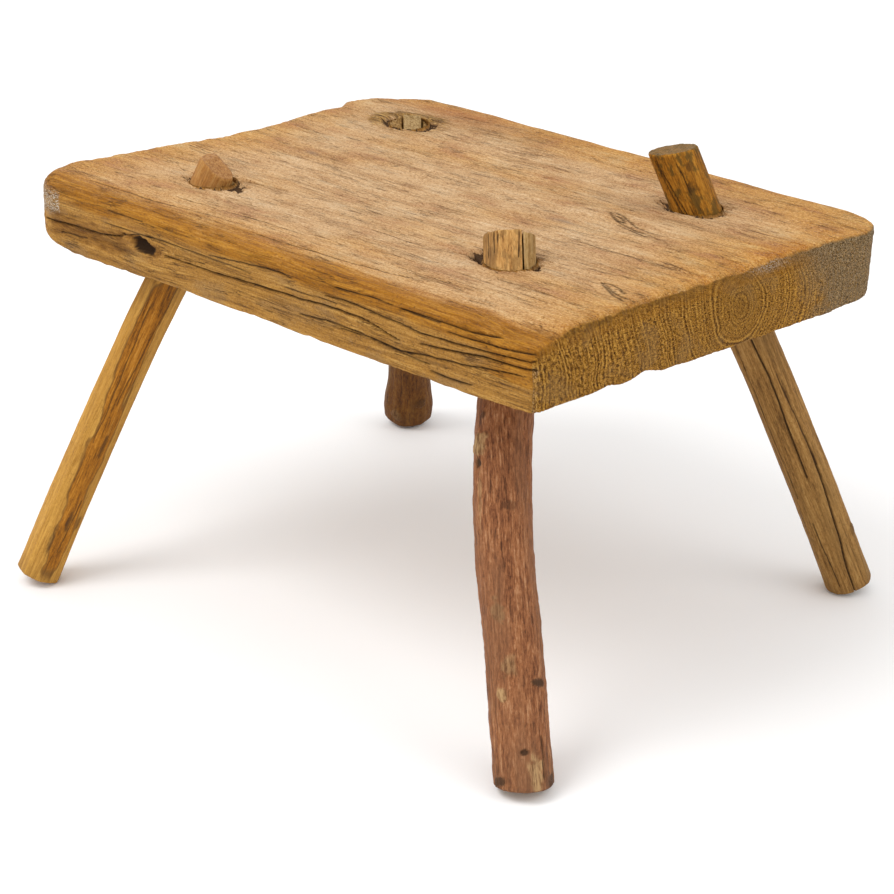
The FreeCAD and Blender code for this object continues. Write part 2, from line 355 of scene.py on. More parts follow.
def plank_blank():
    """The plank with its rounded edges and four slanting mortises, before any wear."""
    blank, drill = new_piece("plank_blank", rounded_plank()), new_piece("bores", bores())
    cut = blank.modifiers.new("mortises", "BOOLEAN")
    cut.operation, cut.solver, cut.object = "DIFFERENCE", "EXACT", drill
    bpy.context.view_layer.update()
    bored = baked(blank)
    drop(blank)
    drop(drill)
    return bored


GRAIN_SQUEEZE = 0.34  # the remesh is this much coarser along the grain than across it
VOXEL = 0.68


def fine_plank():
    """The bored plank as an even, dense mesh."""
    mesh = plank_blank()
    mesh.transform(Matrix.Diagonal((GRAIN_SQUEEZE, 1, 1, 1)))
    piece = new_piece("plank_fine", mesh)
    remesh = piece.modifiers.new("even", "REMESH")
    remesh.mode, remesh.voxel_size = "VOXEL", VOXEL
    bpy.context.view_layer.update()
    dense = baked(piece)
    drop(piece)
    dense.transform(Matrix.Diagonal((1 / GRAIN_SQUEEZE, 1, 1, 1)))
    return dense


# Open cracks: (x, offset) along each, half width and depth. Offsets are heights z on the long
# sides and y on the top.
FRONT_CRACKS = (
    (((-214, 241), (-180, 243.5), (-154, 244.5), (-134, 247.5), (-131, 250)), 1.1, 2.6),
    (((-132, 249), (-114, 253.5), (-90, 254), (-57, 253.5), (-30, 253.6), (-12, 253)), 0.6, 1.2),
    (
        ((-92, 245), (-67, 245), (-49, 245), (-22, 246), (5, 247), (31, 247.5), (56, 249), (81, 249),
         (96, 246.5), (112, 243)), 1.0, 2.8,
    ),
    (((-50, 255.5), (-30, 257), (-8, 258.5), (14, 260), (24, 258.5)), 0.6, 1.0),
    (
        ((53, 255), (73, 256), (96, 254.5), (113, 254), (129, 252), (152, 253), (175, 254), (197, 255.5),
         (214, 256.5)), 0.85, 2.0,
    ),
    (((31, 238.5), (56, 240), (81, 239.5), (113, 236.5), (135, 235.2)), 0.8, 1.6),
    (((64, 238), (89, 239), (113, 237.5), (137, 240.5), (160, 242), (182, 244.5), (204, 247)), 0.8, 1.7),
    (((112, 262.5), (144, 263), (167, 262.6), (189, 264)), 0.8, 1.7),
    (((150, 258.5), (190, 259), (212, 260.2)), 0.7, 1.5),
    (((128, 246), (145, 247), (175, 250.4), (197, 250.8), (214, 252)), 0.95, 2.4),
    (((137, 231.5), (152, 231.2), (167, 231.8)), 1.0, 1.8),
    (((60, 262), (90, 263.5), (106, 262.8)), 0.6, 1.0),
    (((-196, 236.5), (-170, 237.5)), 0.6, 0.9),
)
TOP_CRACKS = (
    (((77, -66), (86, -64.2), (92, -62.2), (99, -64.0)), 3.0, 3.6),
    (((128, -84), (152, -84.6), (174, -83.8), (191, -85.8)), 0.7, 1.1),
    (((101, -91), (128, -92.5), (150, -92.8), (178, -95)), 0.7, 1.0),
    (((-122, -59), (-114, -57.4), (-106, -56.4), (-96, -54.6), (-86, -53)), 4.4, 4.4),
    (((100, 91), (106, 87.5), (112, 86.5)), 1.7, 3.2),
    (((138, 111), (146, 113)), 1.6, 2.6),
    (((-167, -69.5), (-162, -70.5)), 1.6, 1.6),
    (((-153, -80.5), (-150, -79.6)), 1.3, 1.3),
    (((16, 79.5), (20, 80.6), (25, 82.4)), 0.8, 0.7),
    (((-190, -128), (-140, -127), (-95, -123.5), (-46, -119.5)), 0.6, 0.7),
    (((-120, -112), (-60, -108), (-10, -107)), 0.6, 0.6),
    (((-30, -127), (40, -124), (90, -118)), 0.6, 0.6),
)
KNOT_ARCS = (
    (((173, -47.6), (178, -48.6), (188, -54.5), (198, -58.2), (208, -59.3)), 1.5, 0.9),
    (((173, -47.4), (180, -45.6), (189, -48.5), (196, -54)), 1.3, 0.8),
    (((176, -49.8), (184, -54), (193, -59.5), (203, -63)), 1.1, 0.6),
    (((92, 56.4), (99, 50), (112, 43), (128, 37.6), (146, 36)), 1.5, 0.9),
    (((94, 57), (104, 54.6), (114, 49), (124, 43.5), (140, 41)), 1.3, 0.8),
    (((99, 52), (107, 50.4), (113, 45.5), (104, 46.6), (98, 50.5)), 1.5, 0.9),
    (((112, 39.5), (128, 34.8), (142, 33)), 1.1, 0.6),
)
# Knots that turn the grain aside: (x, y, half length, half breadth, strength) on the top.
TOP_KNOTS = ((185, -52, 26, 10, 0.55), (112, 46, 34, 13, 0.6), (-133, 13, 10, 5, 0.35))
KNOT_HOLE = (-110.0, 246.5, 17.0, 5.6)  # x, z, half length, half height on the front side
CORNER = (214.0, FRONT_Y)
BEVEL_REACH, BEVEL_LIFT = 42.0, 11.0
# How far the plank departs from its blank, as pairs (place, distance): y along the right end and x
# along the front.
UNDERCUT = ((-150.0, 0.3), (0.0, 0.6), (90.0, 0.6), (135.0, 2.0), (160.0, 4.5))
END_LEAN = ((-158.0, 1.5), (-125.0, 8.0), (-60.0, 11.0), (40.0, 10.5), (95.0, 6.0), (135.0, 0.0))
FRONT_BELLY = (
    (-215.0, 1.0), (-190.0, 2.6), (-150.0, 2.8), (-110.0, 1.5), (-80.0, 0.6), (-20.0, 0.9),
    (30.0, 1.3), (150.0, 1.4), (195.0, 0.6), (214.0, 0.0),
)
END_BELLY = ((-158.0, 0.0), (-100.0, 0.5), (-60.0, 1.1), (0.0, 2.0), (60.0, 2.6), (150.0, 2.6))
LINE_SEED = 4242
CRACK_MARGIN = 8.0  # how far round a crack its carving is worked out
CORNER_WORN = (60.0, 42.0)  # reach of the wear at the front corner, along x and y
# How far each mortise's mouth is torn to the left and to the right, along the grain.
MOUTHS = (("left", 5.0, 15.0), ("front", 8.0, 3.0), ("right", 9.0, 5.0), ("rear", 9.0, 9.0))
RING_WIDTH = 3.3  # from one growth ring to the next
PAST_BOX = np.array([2.0, 0.0, 3.4])  # how far the worn plank may reach past its CAD box, left and down


def carve_lines(lines, u, v, face, seed, points):
    """Depth and darkness of cracks drawn on one face."""
    depth, dark = np.zeros(len(u)), np.zeros(len(u))
    for number, (path, width, deepest) in enumerate(lines):
        us, vs = np.array(path).T
        near = face & (u > us.min() - CRACK_MARGIN) & (u < us.max() + CRACK_MARGIN)
        near &= (v > vs.min() - CRACK_MARGIN) & (v < vs.max() + CRACK_MARGIN)
        pick = np.flatnonzero(near)
        if not len(pick):
            continue
        wander = fractal(points[pick], (11, 500, 500), seed + number, 2) * 0.3
        reach, along = path_distance(u[pick], v[pick] + wander, path)
        swell = np.clip(4.0 * along * (1 - along) + 0.25, 0.25, 1.0) ** 0.5
        swell *= 1.0 + 0.35 * lattice(points[pick] / 13.0, seed + 50 + number)
        profile = np.clip(1.0 - reach / (0.55 * width * swell + 0.42), 0.0, 1.0)
        depth[pick] = np.maximum(depth[pick], profile * deepest)
        dark[pick] = np.maximum(dark[pick], smoothstep(0.15, 0.8, profile))
    return depth, dark


def random_lines(count, across, seed, widths=(0.1, 0.4), depths=(0.3, 0.8)):
    """Short cracks along the grain at seeded places."""
    dice = np.random.default_rng(seed)
    lines = []
    for _ in range(count):
        start, length = dice.uniform(-200, 180), dice.uniform(15, 70)
        offset, slope = dice.uniform(*across), dice.uniform(-0.025, 0.025)
        spots = [(start + length * t, offset + slope * length * t) for t in (0.0, 0.35, 0.7, 1.0)]
        lines.append((spots, dice.uniform(*widths), dice.uniform(*depths)))
    return lines


def outside_mortise(raw):
    """How far each point lies outside the nearest bore."""
    nearest = np.full(len(raw), FAR)
    for leg in LEGS:
        origin, out, side, _ = leg_axes(leg)
        local = raw - origin
        nearest = np.minimum(nearest, np.hypot(local @ out, local @ side) - LEGS[leg]["tenon"])
    return nearest


def depth_share(z):
    """0 at the seat's upper face, 1 at its lower face."""
    return (SEAT_TOP - z) / THICKNESS


def corner_wear(x, y):
    reach = np.hypot((x - CORNER[0]) / CORNER_WORN[0], (y - CORNER[1]) / CORNER_WORN[1])
    return np.clip(1 - reach, 0, 1) ** 1.3


def hewn(raw, base):
    """The big shapes: bevelled left end, undercut and leaning right end, bellies, worn corner."""
    x, y, z = raw.T
    share = depth_share(z)
    end_x = SEAT_LOW[0] - 1.0 + 2.0 * lattice(raw / 40.0, 5)
    lift = BEVEL_LIFT * (1 - np.clip((x - end_x) / BEVEL_REACH, 0, 1)) ** 1.15
    moved = raw.copy()
    moved[:, 2] += lift * np.clip((share - 0.3) / 0.7, 0, 1)
    tuck = np.interp(y, *zip(*UNDERCUT)) * smoothstep(165, 215, x)
    moved[:, 0] -= tuck * share**1.3
    lean = np.interp(y, *zip(*END_LEAN)) * smoothstep(150, 228, x)
    moved[:, 0] -= lean * np.clip(1 - share / 0.62, 0, 1) ** 1.15
    low = smoothstep(0.4, 1.0, share)
    moved[:, 2] -= np.interp(x, *zip(*FRONT_BELLY)) * low * smoothstep(-85, -150, y)
    moved[:, 2] -= np.interp(y, *zip(*END_BELLY)) * low * smoothstep(170, 225, x)
    worn = corner_wear(x, y)
    moved[:, 2] -= 7.5 * worn * np.clip(1 - share * 1.1, 0, 1)
    moved[:, 1] += 2.5 * worn * np.clip(1 - share, 0, 1)
    hollow = np.exp(-(((x + 20) / 190) ** 2) - ((y / 110) ** 2))
    moved[:, 2] -= 1.6 * hollow * (base[:, 2] > 0.5)

    # Ragged lower edges, and the sawn end's upper lip.
    low_front = smoothstep(9, 0, z - SEAT_BOTTOM) * smoothstep(16, 3, y - FRONT_Y)
    low_end = smoothstep(9, 0, z - SEAT_BOTTOM) * smoothstep(185, 205, x)
    chip = np.clip(fractal(raw, (13, 13, 300), 21, 3), -0.2, 1.2)
    moved[:, 2] += low_front * 0.9 * np.clip(chip, 0, 1)
    notch = 3.0 * np.exp(-(((y + 61) / 9) ** 2)) + 1.3 * np.exp(-(((y + 90) / 6) ** 2))
    moved[:, 2] += low_end * (notch + 0.3 * np.clip(chip, 0, 1))
    lip = smoothstep(10, 0, SEAT_TOP - z) * smoothstep(196, 212, x)
    moved[:, 2] -= lip * 1.6 * np.clip(fractal(raw, (400, 14, 400), 31, 3), -0.5, 1)
    return moved


def faces_of(points, normal, bore):
    """Which face each point is on: soft shares for the faces, yes or no for the long sides."""
    x, y, _ = points.T
    return SimpleNamespace(
        bore=bore,
        top=smoothstep(0.52, 0.90, normal[:, 2]) * ~bore,
        under=smoothstep(0.45, 0.8, -normal[:, 2]) * ~bore,
        front=(normal[:, 1] < -0.45) & ~bore,
        back=(normal[:, 1] > 0.45) & ~bore & (y > 100),
        sides=(np.abs(normal[:, 2]) < 0.7) & ~bore,
        right_end=smoothstep(0.55, 0.8, normal[:, 0]) * (x > 190),
        left_end=smoothstep(0.35, 0.7, -normal[:, 0]) * (x < -150),
    )


def grain_of(points):
    """Grain coordinates, along and two across, pushed aside by knots; and the flow behind them."""
    x, y, z = points.T
    grain = points.copy()
    flow = fractal(points, (150, 45, 45), 41, 2)
    grain[:, 1] += 2.6 * flow
    grain[:, 2] += 2.0 * fractal(points, (150, 40, 40), 45, 2)
    for kx, ky, length, breadth, strength in TOP_KNOTS:
        off = ((x - kx) / length) ** 2 + ((y - ky) / breadth) ** 2
        grain[:, 1] -= (y - ky) * strength * np.exp(-off)
    hx, hz, half_length, half_height = KNOT_HOLE
    off = ((x - hx) / (2.2 * half_length)) ** 2 + ((z - hz) / (2.2 * half_height)) ** 2
    grain[:, 2] -= (z - hz) * 0.5 * np.exp(-off)
    return grain, flow


def open_cracks(points, on):
    """Depth and darkness of all the plank's cracks."""
    x, y, z = points.T
    top, under = on.top > 0.3, on.under > 0.3
    low, high = SEAT_BOTTOM + 3, SEAT_TOP - 5
    faint, wide = ((0.0, 0.2), (0.2, 0.5)), ((0.3, 0.9), (0.6, 1.8))
    depth, dark = np.zeros(len(x)), np.zeros(len(x))
    for lines, across, face, seed in (
        (FRONT_CRACKS, z, on.front, 100),
        (TOP_CRACKS, y, top, 200),
        (KNOT_ARCS, y, top, 300),
        (random_lines(6, (low, high), LINE_SEED), z, on.front, 400),
        (random_lines(34, (low, high), LINE_SEED + 1, *wide), z, on.back, 500),
        (random_lines(7, (-140, 150), LINE_SEED + 2, *faint), y, top, 600),
        (random_lines(60, (-140, 155), LINE_SEED + 3, *wide), y, under, 700),
    ):
        deeper, darker = carve_lines(lines, x, across, face, seed, points)
        depth, dark = np.maximum(depth, deeper), np.maximum(dark, darker)
    return depth, dark


def knot_hole(points, on, rag):
    """The knot hole on the front side, its pit, and the rotted trail to its left."""
    x, _, z = points.T
    hx, hz, half_length, half_height = KNOT_HOLE
    hole = 1 - np.hypot((x - hx) / half_length, (z - hz + 0.08 * (x - hx)) / half_height) + 0.28 * rag
    hole = np.clip(hole, 0, 1) * on.front
    pit = np.clip(1 - np.hypot((x - hx + 3) / 9.5, (z - hz + 0.5) / 4.9) + 0.3 * rag, 0, 1) * on.front
    trail = smoothstep(-212, -200, x) * smoothstep(-118, -135, x) * on.front
    trail *= smoothstep(9.5, 5.5, np.abs(z - (241.0 + 0.03 * (x + 200)) + 1.5 * rag))
    return hole, pit, trail


def torn_mouths(points, on, mortise):
    """Torn mouths of the mortises, whose hollows the material paints near black as shade, and the fringe of
    fibres round the rear one.
    """
    x, y, _ = points.T
    mouth = np.zeros(len(x))
    for number, (leg, reach_left, reach_right) in enumerate(MOUTHS):
        hole_x, hole_y = LEGS[leg]["hole"]
        radius = LEGS[leg]["tenon"]
        dx, dy = x - hole_x, y - hole_y
        stretch = np.where(dx > 0, radius * 1.1 + reach_right * 0.8, radius * 1.1 + reach_left * 0.8)
        wide = radius * (1.16 if leg == "rear" else 1.06)
        oval = np.hypot(dx / stretch, dy / wide)
        torn = fractal(points, (6, 2.4, 6), 60 + number, 3)
        bite = smoothstep(0.14, -0.12, oval - 1 + 0.30 * torn) * (on.top > 0.2) * (mortise < 24)
        mouth = np.maximum(mouth, bite)
        if leg == "rear":
            fringe = smoothstep(0.42, 0.22, np.abs(oval - 1.15) + 0.20 * torn) * (on.top > 0.2)
            fringe *= 0.30 + 0.70 * smoothstep(10, -10, dx - dy)
    return mouth, fringe


def wood_relief(raw, points, grain, on):
    """Fibres, ridges, lumps and growth rings standing out of the surface."""
    fibre = fractal(grain, (30, 2.1, 2.1), 71, 3)
    ridge = fractal(grain, (70, 6.5, 6.5), 75, 3)
    lumps = fractal(points, (26, 18, 18), 79, 3)
    pith_y, pith_z = PITH
    radius = np.hypot(grain[:, 1] - pith_y, grain[:, 2] - pith_z)
    wobble = lattice(grain / np.array([90, 30, 30]), 83)
    ring = np.sin(radius * math.tau / RING_WIDTH + 1.6 * wobble)
    flat = 1 - np.maximum(on.right_end, on.left_end)
    relief = flat * (0.22 * fibre + 0.2 * ridge) + 0.35 * lumps
    relief += on.right_end * (0.16 * ring + 0.22 * fractal(points, (50, 1.9, 1.9), 87, 2))
    relief += on.left_end * (0.25 * fractal(points, (3, 7, 2.2), 91, 3))
    coarse = 0.35 * fractal(grain, (55, 4.0, 4.0), 95, 3)
    relief += on.sides * flat * coarse + 0.35 * fractal(raw, (45, 60, 60), 3, 2)
    relief[on.bore] = 0.0
    return relief


def blot(u, v, place, reach):
    """A soft round or oval spot: 1 at its place, fading outwards."""
    return np.exp(-(((u - place[0]) / reach[0]) ** 2) - (((v - place[1]) / reach[1]) ** 2))


def top_masks(points, normal, grain, flow, on, worn, share):
    """Where the upper face and its front edge are bleached, amber, soiled, worn or spotted."""
    x, y, z = points.T
    edge = smoothstep(0.97, 0.72, normal[:, 2]) * smoothstep(-0.35, 0.3, normal[:, 2])
    ragged = 3.0 * fractal(grain, (40, 6, 6), 97, 3)
    front_band = smoothstep(25, 9, y - FRONT_Y + 2 * ragged)
    front_band = front_band * smoothstep(SEAT_TOP - 14, SEAT_TOP - 5, z + ragged)
    worn_patch = 0.9 * smoothstep(0.15, 0.5, worn) * (share < 0.6) * (1 - on.right_end)
    wear = np.clip(front_band + 0.35 * edge * (y < 100) * (z > SEAT_TOP - 10) + worn_patch, 0, 1)
    reach_x = np.minimum(x - SEAT_LOW[0], SEAT_HIGH[0] - x)
    reach_y = np.minimum(y - SEAT_LOW[1], SEAT_HIGH[1] - y)
    bleached = on.top * smoothstep(8, 95, reach_x + 18 * flow) * smoothstep(2, 60, reach_y + 12 * flow)
    amber = smoothstep(32, 7, y - FRONT_Y + 2 * ragged) * (0.35 + 0.65 * smoothstep(-90, 40, x))
    amber = np.maximum(amber, smoothstep(38, 9, SEAT_HIGH[0] - x + 2 * ragged) * smoothstep(135, 80, y))
    soil = blot(x, y, (-100, 140), (62, 20)) + 0.9 * blot(x, y, (-138, 108), (30, 20))
    spot = blot(x, y, (84, 21), (13, 3.2)) + blot(x, y, (-132, 14), (7, 2.5))
    red = blot(x, y, (20, 80.5), (9, 3.0)) + 0.8 * blot(x, y, (-115, 150), (55, 16))
    return {
        "bleached": bleached,
        "amber": np.clip(amber, 0, 1) * on.top,
        "soil": np.clip(soil, 0, 1) * on.top,
        "wear": wear * ~on.bore,
        "spot": np.clip(spot, 0, 1) * on.top,
        "red": np.clip(red, 0, 1) * on.top,
    }


def end_masks(points, on, rag):
    """Where the two ends are grey, chalky or grimy."""
    x, y, z = points.T
    rear_patch = smoothstep(SEAT_TOP - 38, SEAT_TOP - 8, z) * on.right_end * smoothstep(62, 96, y)
    rear_patch = np.maximum(rear_patch, on.right_end * smoothstep(70, 104, y + 8 * rag))
    pale_end = on.right_end * smoothstep(-143, -153, y + 3 * rag)
    left_patch = (x < -196) * smoothstep(-104, -122, y) * smoothstep(244, 252, z + 3 * rag)
    left_patch = left_patch * smoothstep(SEAT_TOP - 3, SEAT_TOP - 9, z)
    rim_chalk = np.exp(-(((y - 50) / 16) ** 2)) * smoothstep(SEAT_TOP - 9, SEAT_TOP - 4, z)
    return {
        "grey": np.clip(rear_patch + 0.5 * left_patch + 0.5 * pale_end, 0, 1),
        "chalk": np.clip(left_patch + 0.45 * pale_end + 0.8 * on.right_end * rim_chalk, 0, 1),
        "shade_and_grime": on.right_end * smoothstep(SEAT_TOP - 8, SEAT_TOP - 2, z + 3 * rag),
    }


def make_plank():
    mesh = fine_plank()
    raw, base = coordinates(mesh), coordinates(mesh, "normal")
    mortise = outside_mortise(raw)
    x, y, z = raw.T
    bore = (mortise < 1.3) & (np.abs(base[:, 2]) < 0.93) & (x > -185) & (np.abs(y) < 135) & (x < 175)
    worn, share = corner_wear(x, y), depth_share(z)

    moved = hewn(raw, base)
    mesh.vertices.foreach_set("co", moved.ravel())
    mesh.update()
    normal = coordinates(mesh, "normal")
    on = faces_of(moved, normal, bore)
    grain, flow = grain_of(moved)

    rag = fractal(moved, (7, 7, 5), 51, 3)
    depth, dark = open_cracks(moved, on)
    hole, pit, trail = knot_hole(moved, on, rag)
    mouth, fringe = torn_mouths(moved, on, mortise)
    depth += 1.6 * smoothstep(0, 0.35, hole) + 3.4 * smoothstep(0, 0.6, pit)
    depth += 0.9 * trail * smoothstep(0, 3, 246 - moved[:, 2])
    depth += 3.2 * mouth * (mortise > 1.0)
    splinters = fractal(moved, (5, 1.7, 5), 69, 3)
    depth -= fringe * (0.5 + 1.9 * np.clip(splinters, -0.2, 1)) * (mortise > 0.6)

    shift = wood_relief(raw, moved, grain, on) - depth
    shift[bore] = 0.0
    final = np.clip(moved + normal * shift[:, None], SEAT_LOW - PAST_BOX, SEAT_HIGH - 0.02)
    mesh.vertices.foreach_set("co", (final * MM).ravel())
    mesh.update()

    masks = {
        "grain": grain,
        "top_face": on.top,
        "end_grain": on.right_end,
        "left_end": on.left_end,
        # Painted shade: the knot hole's pit is coloured near black along with the cracks.
        "crack_and_shade": np.clip(dark + smoothstep(0.0, 0.12, pit), 0, 1),
        # Painted shade: the walls of the bores, between the plank and the tenons, are coloured dark along
        # with the knot hole and the rotted trail.
        "stain_and_shade": np.clip(trail + smoothstep(0.0, 0.4, hole) + bore, 0, 1),
        "mouth": np.clip(mouth, 0, 1),
        "fringe": np.clip(fringe, 0, 1),
        **top_masks(moved, normal, grain, flow, on, worn, share),
        **end_masks(moved, on, rag),
    }
    for name, values in masks.items():
        store(mesh, name, values)
    return new_piece("plank", mesh)


# ---------------------------------------------------------------- sticks

AROUND, ALONG, CAP = ((168, 360, 18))

# Outline of each stick in its own frame: the place down the leg, then the radius; bow likewise.
STICKS = {
    "left": {
        "radius": ((16, 13.4), (-41, 13.7), (-62, 13.9), (-119, 13.8), (-220, 14.1), (-298, 14.6)),
        "bow_out": ((16, 0), (-40, 0.1), (-119, 3.1), (-200, 3.1), (-298, 1.4)),
        "bow_side": ((16, 0), (-41, 0), (-160, 0.4), (-298, 0)),
        "foot": 14.5, "lift": 25.0, "facets": (7, 0.62, 0.3), "bark": 0.06, "round": 1.8, "seed": 1000,
    },
    "front": {
        "radius": ((15, 15.4), (-41, 15.6), (-60, 16.6), (-123, 17.0), (-220, 16.9), (-307, 17.4)),
        "bow_out": ((15, 0), (-307, 0)),
        "bow_side": (
            (15, 0), (-41, -1.4), (-62, -3.2), (-110, -8.2), (-167, -9.8), (-224, -6.6),
            (-282, -4.2), (-307, -3.0),
        ),
        "foot": 17.5, "lift": 16.0, "facets": (5, 0.12, 1.1), "bark": 0.34, "round": 1.4, "seed": 2000,
    },
    "right": {
        "radius": ((42, 15.0), (-41, 15.0), (-62, 15.3), (-116, 15.1), (-220, 15.4), (-291, 15.7)),
        "bow_out": ((42, 0), (-41, 0.0), (-116, 2.7), (-200, 3.4), (-291, 2.0)),
        "bow_side": ((42, 0), (-150, 0.5), (-291, 0)),
        "foot": 14.5, "lift": 20.0, "facets": (6, 0.3, 0.7), "bark": 0.1, "round": 2.2, "seed": 3000,
    },
    "rear": {
        "radius": (
            (-6, 13.3), (-62, 14.2), (-115, 14.6), (-215, 15.6), (-243, 16.2), (-259, 18.0),
            (-270, 18.9), (-280, 17.8), (-289, 16),
        ),
        "bow_out": ((-6, 0), (-289, 0)),
        "bow_side": ((-6, 0), (-289, 0)),
        "foot": 19.0, "lift": 20.0, "facets": (5, 0.15, 2.0), "bark": 0.2, "round": 5.0, "seed": 4000,
    },
}
FOOT_FLAT = 6.0  # breadth of the worn flat on which each foot stands
TENON_ROUND = 0.6  # rounding of the tenon's upper edge
CAP_CENTRE = 0.04  # the innermost ring of an end, as a share of its radius
STREAK_WIDTH = ((-48, 8), (-75, 24), (-120, 30), (-170, 26), (-215, 24), (-260, 26), (-292, 10))


def foot_height(leg, a, b):
    """How far down the leg its sawn foot lies, for places (a, b) in its cross section; b is not used."""
    tilt, lift = math.radians(LEGS[leg]["tilt"]), math.radians(STICKS[leg]["lift"])
    length = SEAT_TOP / math.cos(tilt)
    heel = FOOT_FLAT - STICKS[leg]["foot"] / math.cos(tilt)
    on_floor = -(SEAT_TOP + a * math.sin(tilt)) / math.cos(tilt)
    rise = (a * math.cos(tilt) - length * math.sin(tilt) - heel) * math.tan(lift)
    rise -= SEAT_TOP + a * math.sin(tilt)
    sawn = rise / (math.cos(tilt) + math.sin(tilt) * math.tan(lift))
    return np.maximum(on_floor + 0.05, sawn)


def tenon_top(leg, a, b):
    """Height of the tenon's upper end along the leg, for places (a, b) in its cross section."""
    spots = np.stack([a, b, np.zeros_like(a)], 1)
    rough = fractal(spots, (5, 5, 5), STICKS[leg]["seed"] + 7, 3)
    if leg == "left":
        ridge = 14.6 - 0.46 * np.abs(a - 3.0)
        chisel = 15.0 - 0.55 * (b + 4.0)
        return np.minimum(ridge, chisel) + 0.5 * rough
    if leg == "right":
        slope = math.tan(math.radians(14.0))
        return 44.7 - (a + 15.0) * slope - 0.12 * b + 0.35 * rough - 0.5 * smoothstep(0.1, 0.5, rough)
    if leg == "front":
        return 14.7 + 0.35 * rough + 0.03 * a
    split = smoothstep(7.5, 6.0, np.abs(b + 2.5))
    broken = -3.5 + 2.4 * rough + 1.5 * smoothstep(6, 12, b)
    return broken - 9.0 * split


# The flat on a tenon that its shim lies against: direction, distance from the axis, lower end.
FLATS = {"left": (math.pi, 8.5, -28.0), "front": (math.pi / 2, 6.2, -32.0)}


def section_radius(leg, angle, height):
    """The stick's radius at an angle round it and a height along it."""
    data = STICKS[leg]
    seed = data["seed"]
    radius = curve_at(data["radius"], height)
    below = smoothstep(-38, -66, height)
    sides, depth, phase = data["facets"]
    down_leg = np.stack([height, 0 * height, 0 * height], 1)
    twist = 0.12 * fractal(down_leg, (60, 1, 1), seed + 3, 2)
    turned = angle + phase + 0.25 * np.sin(height / 90.0) + twist
    wedge = math.tau / sides
    facet = math.cos(wedge / 2) / np.cos(np.mod(turned, wedge) - wedge / 2)
    facet = facet / ((1 + math.cos(wedge / 2)) / 2)
    radius = radius * (1 + (facet - 1) * depth * (0.25 + 0.75 * below))
    around = np.stack([height, 14 * np.cos(angle), 14 * np.sin(angle)], 1)
    free = 0.35 + 0.65 * below
    bumps = 0.24 * fractal(around, (60, 16, 16), seed + 11, 3) * free
    fibres = 0.13 * fractal(around, (26, 1.6, 1.6), seed + 15, 3)
    bark = data["bark"] * fractal(around, (7, 3.4, 3.4), seed + 19, 3) * below
    if leg == "rear":
        bumps = bumps * (1 + 4.5 * smoothstep(-236, -262, height))
    radius = radius + bumps + fibres + bark
    if leg in FLATS:
        facing, reach, bottom = FLATS[leg]
        across = np.cos(angle - facing)
        limit = reach / np.maximum(across, 1e-3)
        clipped = (across > 0.05) & (height > bottom)
        radius = np.where(clipped, np.minimum(radius, limit), radius)
    return radius


# Cracks down each stick: (height, angle in degrees) along each, half width, depth.
STICK_CRACKS = {
    "left": (
        (((-66, 66), (-60, 78), (-57, 84)), 0.8, 0.9),
        (((-70, 108), (-90, 106), (-120, 100), (-160, 92)), 0.45, 0.5),
        (((-90, 62), (-130, 70), (-170, 74), (-190, 72)), 0.45, 0.5),
        (((-230, 110), (-250, 104), (-270, 98)), 0.5, 0.6),
    ),
    "front": (
        (((15, 88), (-30, 90)), 0.4, 0.4),
        (((14, -40), (2, -41)), 0.8, 0.9),
        (((14, -58), (6, -57), (0, -59)), 0.9, 0.9),
        (((13, -30), (8, -31)), 0.6, 0.7),
        (((14, 18), (-1, 16)), 0.7, 0.7),
        (((12, 34), (4, 33)), 0.5, 0.6),
        (((-276, 40), (-300, 38)), 0.6, 0.9),
    ),
    "right": (
        (((42, -146), (30, -140), (12, -126), (-2, -114)), 1.0, 1.8),
        (((40, -150), (22, -142), (6, -130), (-2, -122)), 0.8, 1.3),
        (((36, -96), (26, -92), (14, -90)), 0.6, 0.8),
        (((-52, -100), (-90, -93), (-130, -90), (-165, -96), (-196, -98)), 1.1, 2.2),
        (((-168, -62), (-200, -64), (-240, -74), (-268, -84), (-289, -86)), 1.1, 2.2),
        (((-80, -140), (-150, -146), (-210, -142)), 0.7, 1.1),
        (((-120, -70), (-165, -66), (-190, -60)), 0.6, 0.8),
        (((-230, -128), (-262, -122), (-280, -118)), 0.6, 0.8),
        (((-80, 60), (-160, 70), (-240, 66)), 0.9, 1.6),
    ),
    "rear": (
        (((-60, 150), (-120, 158), (-200, 154)), 0.6, 0.8),
        (((-70, -150), (-140, -160), (-210, -158)), 0.7, 0.9),
    ),
}
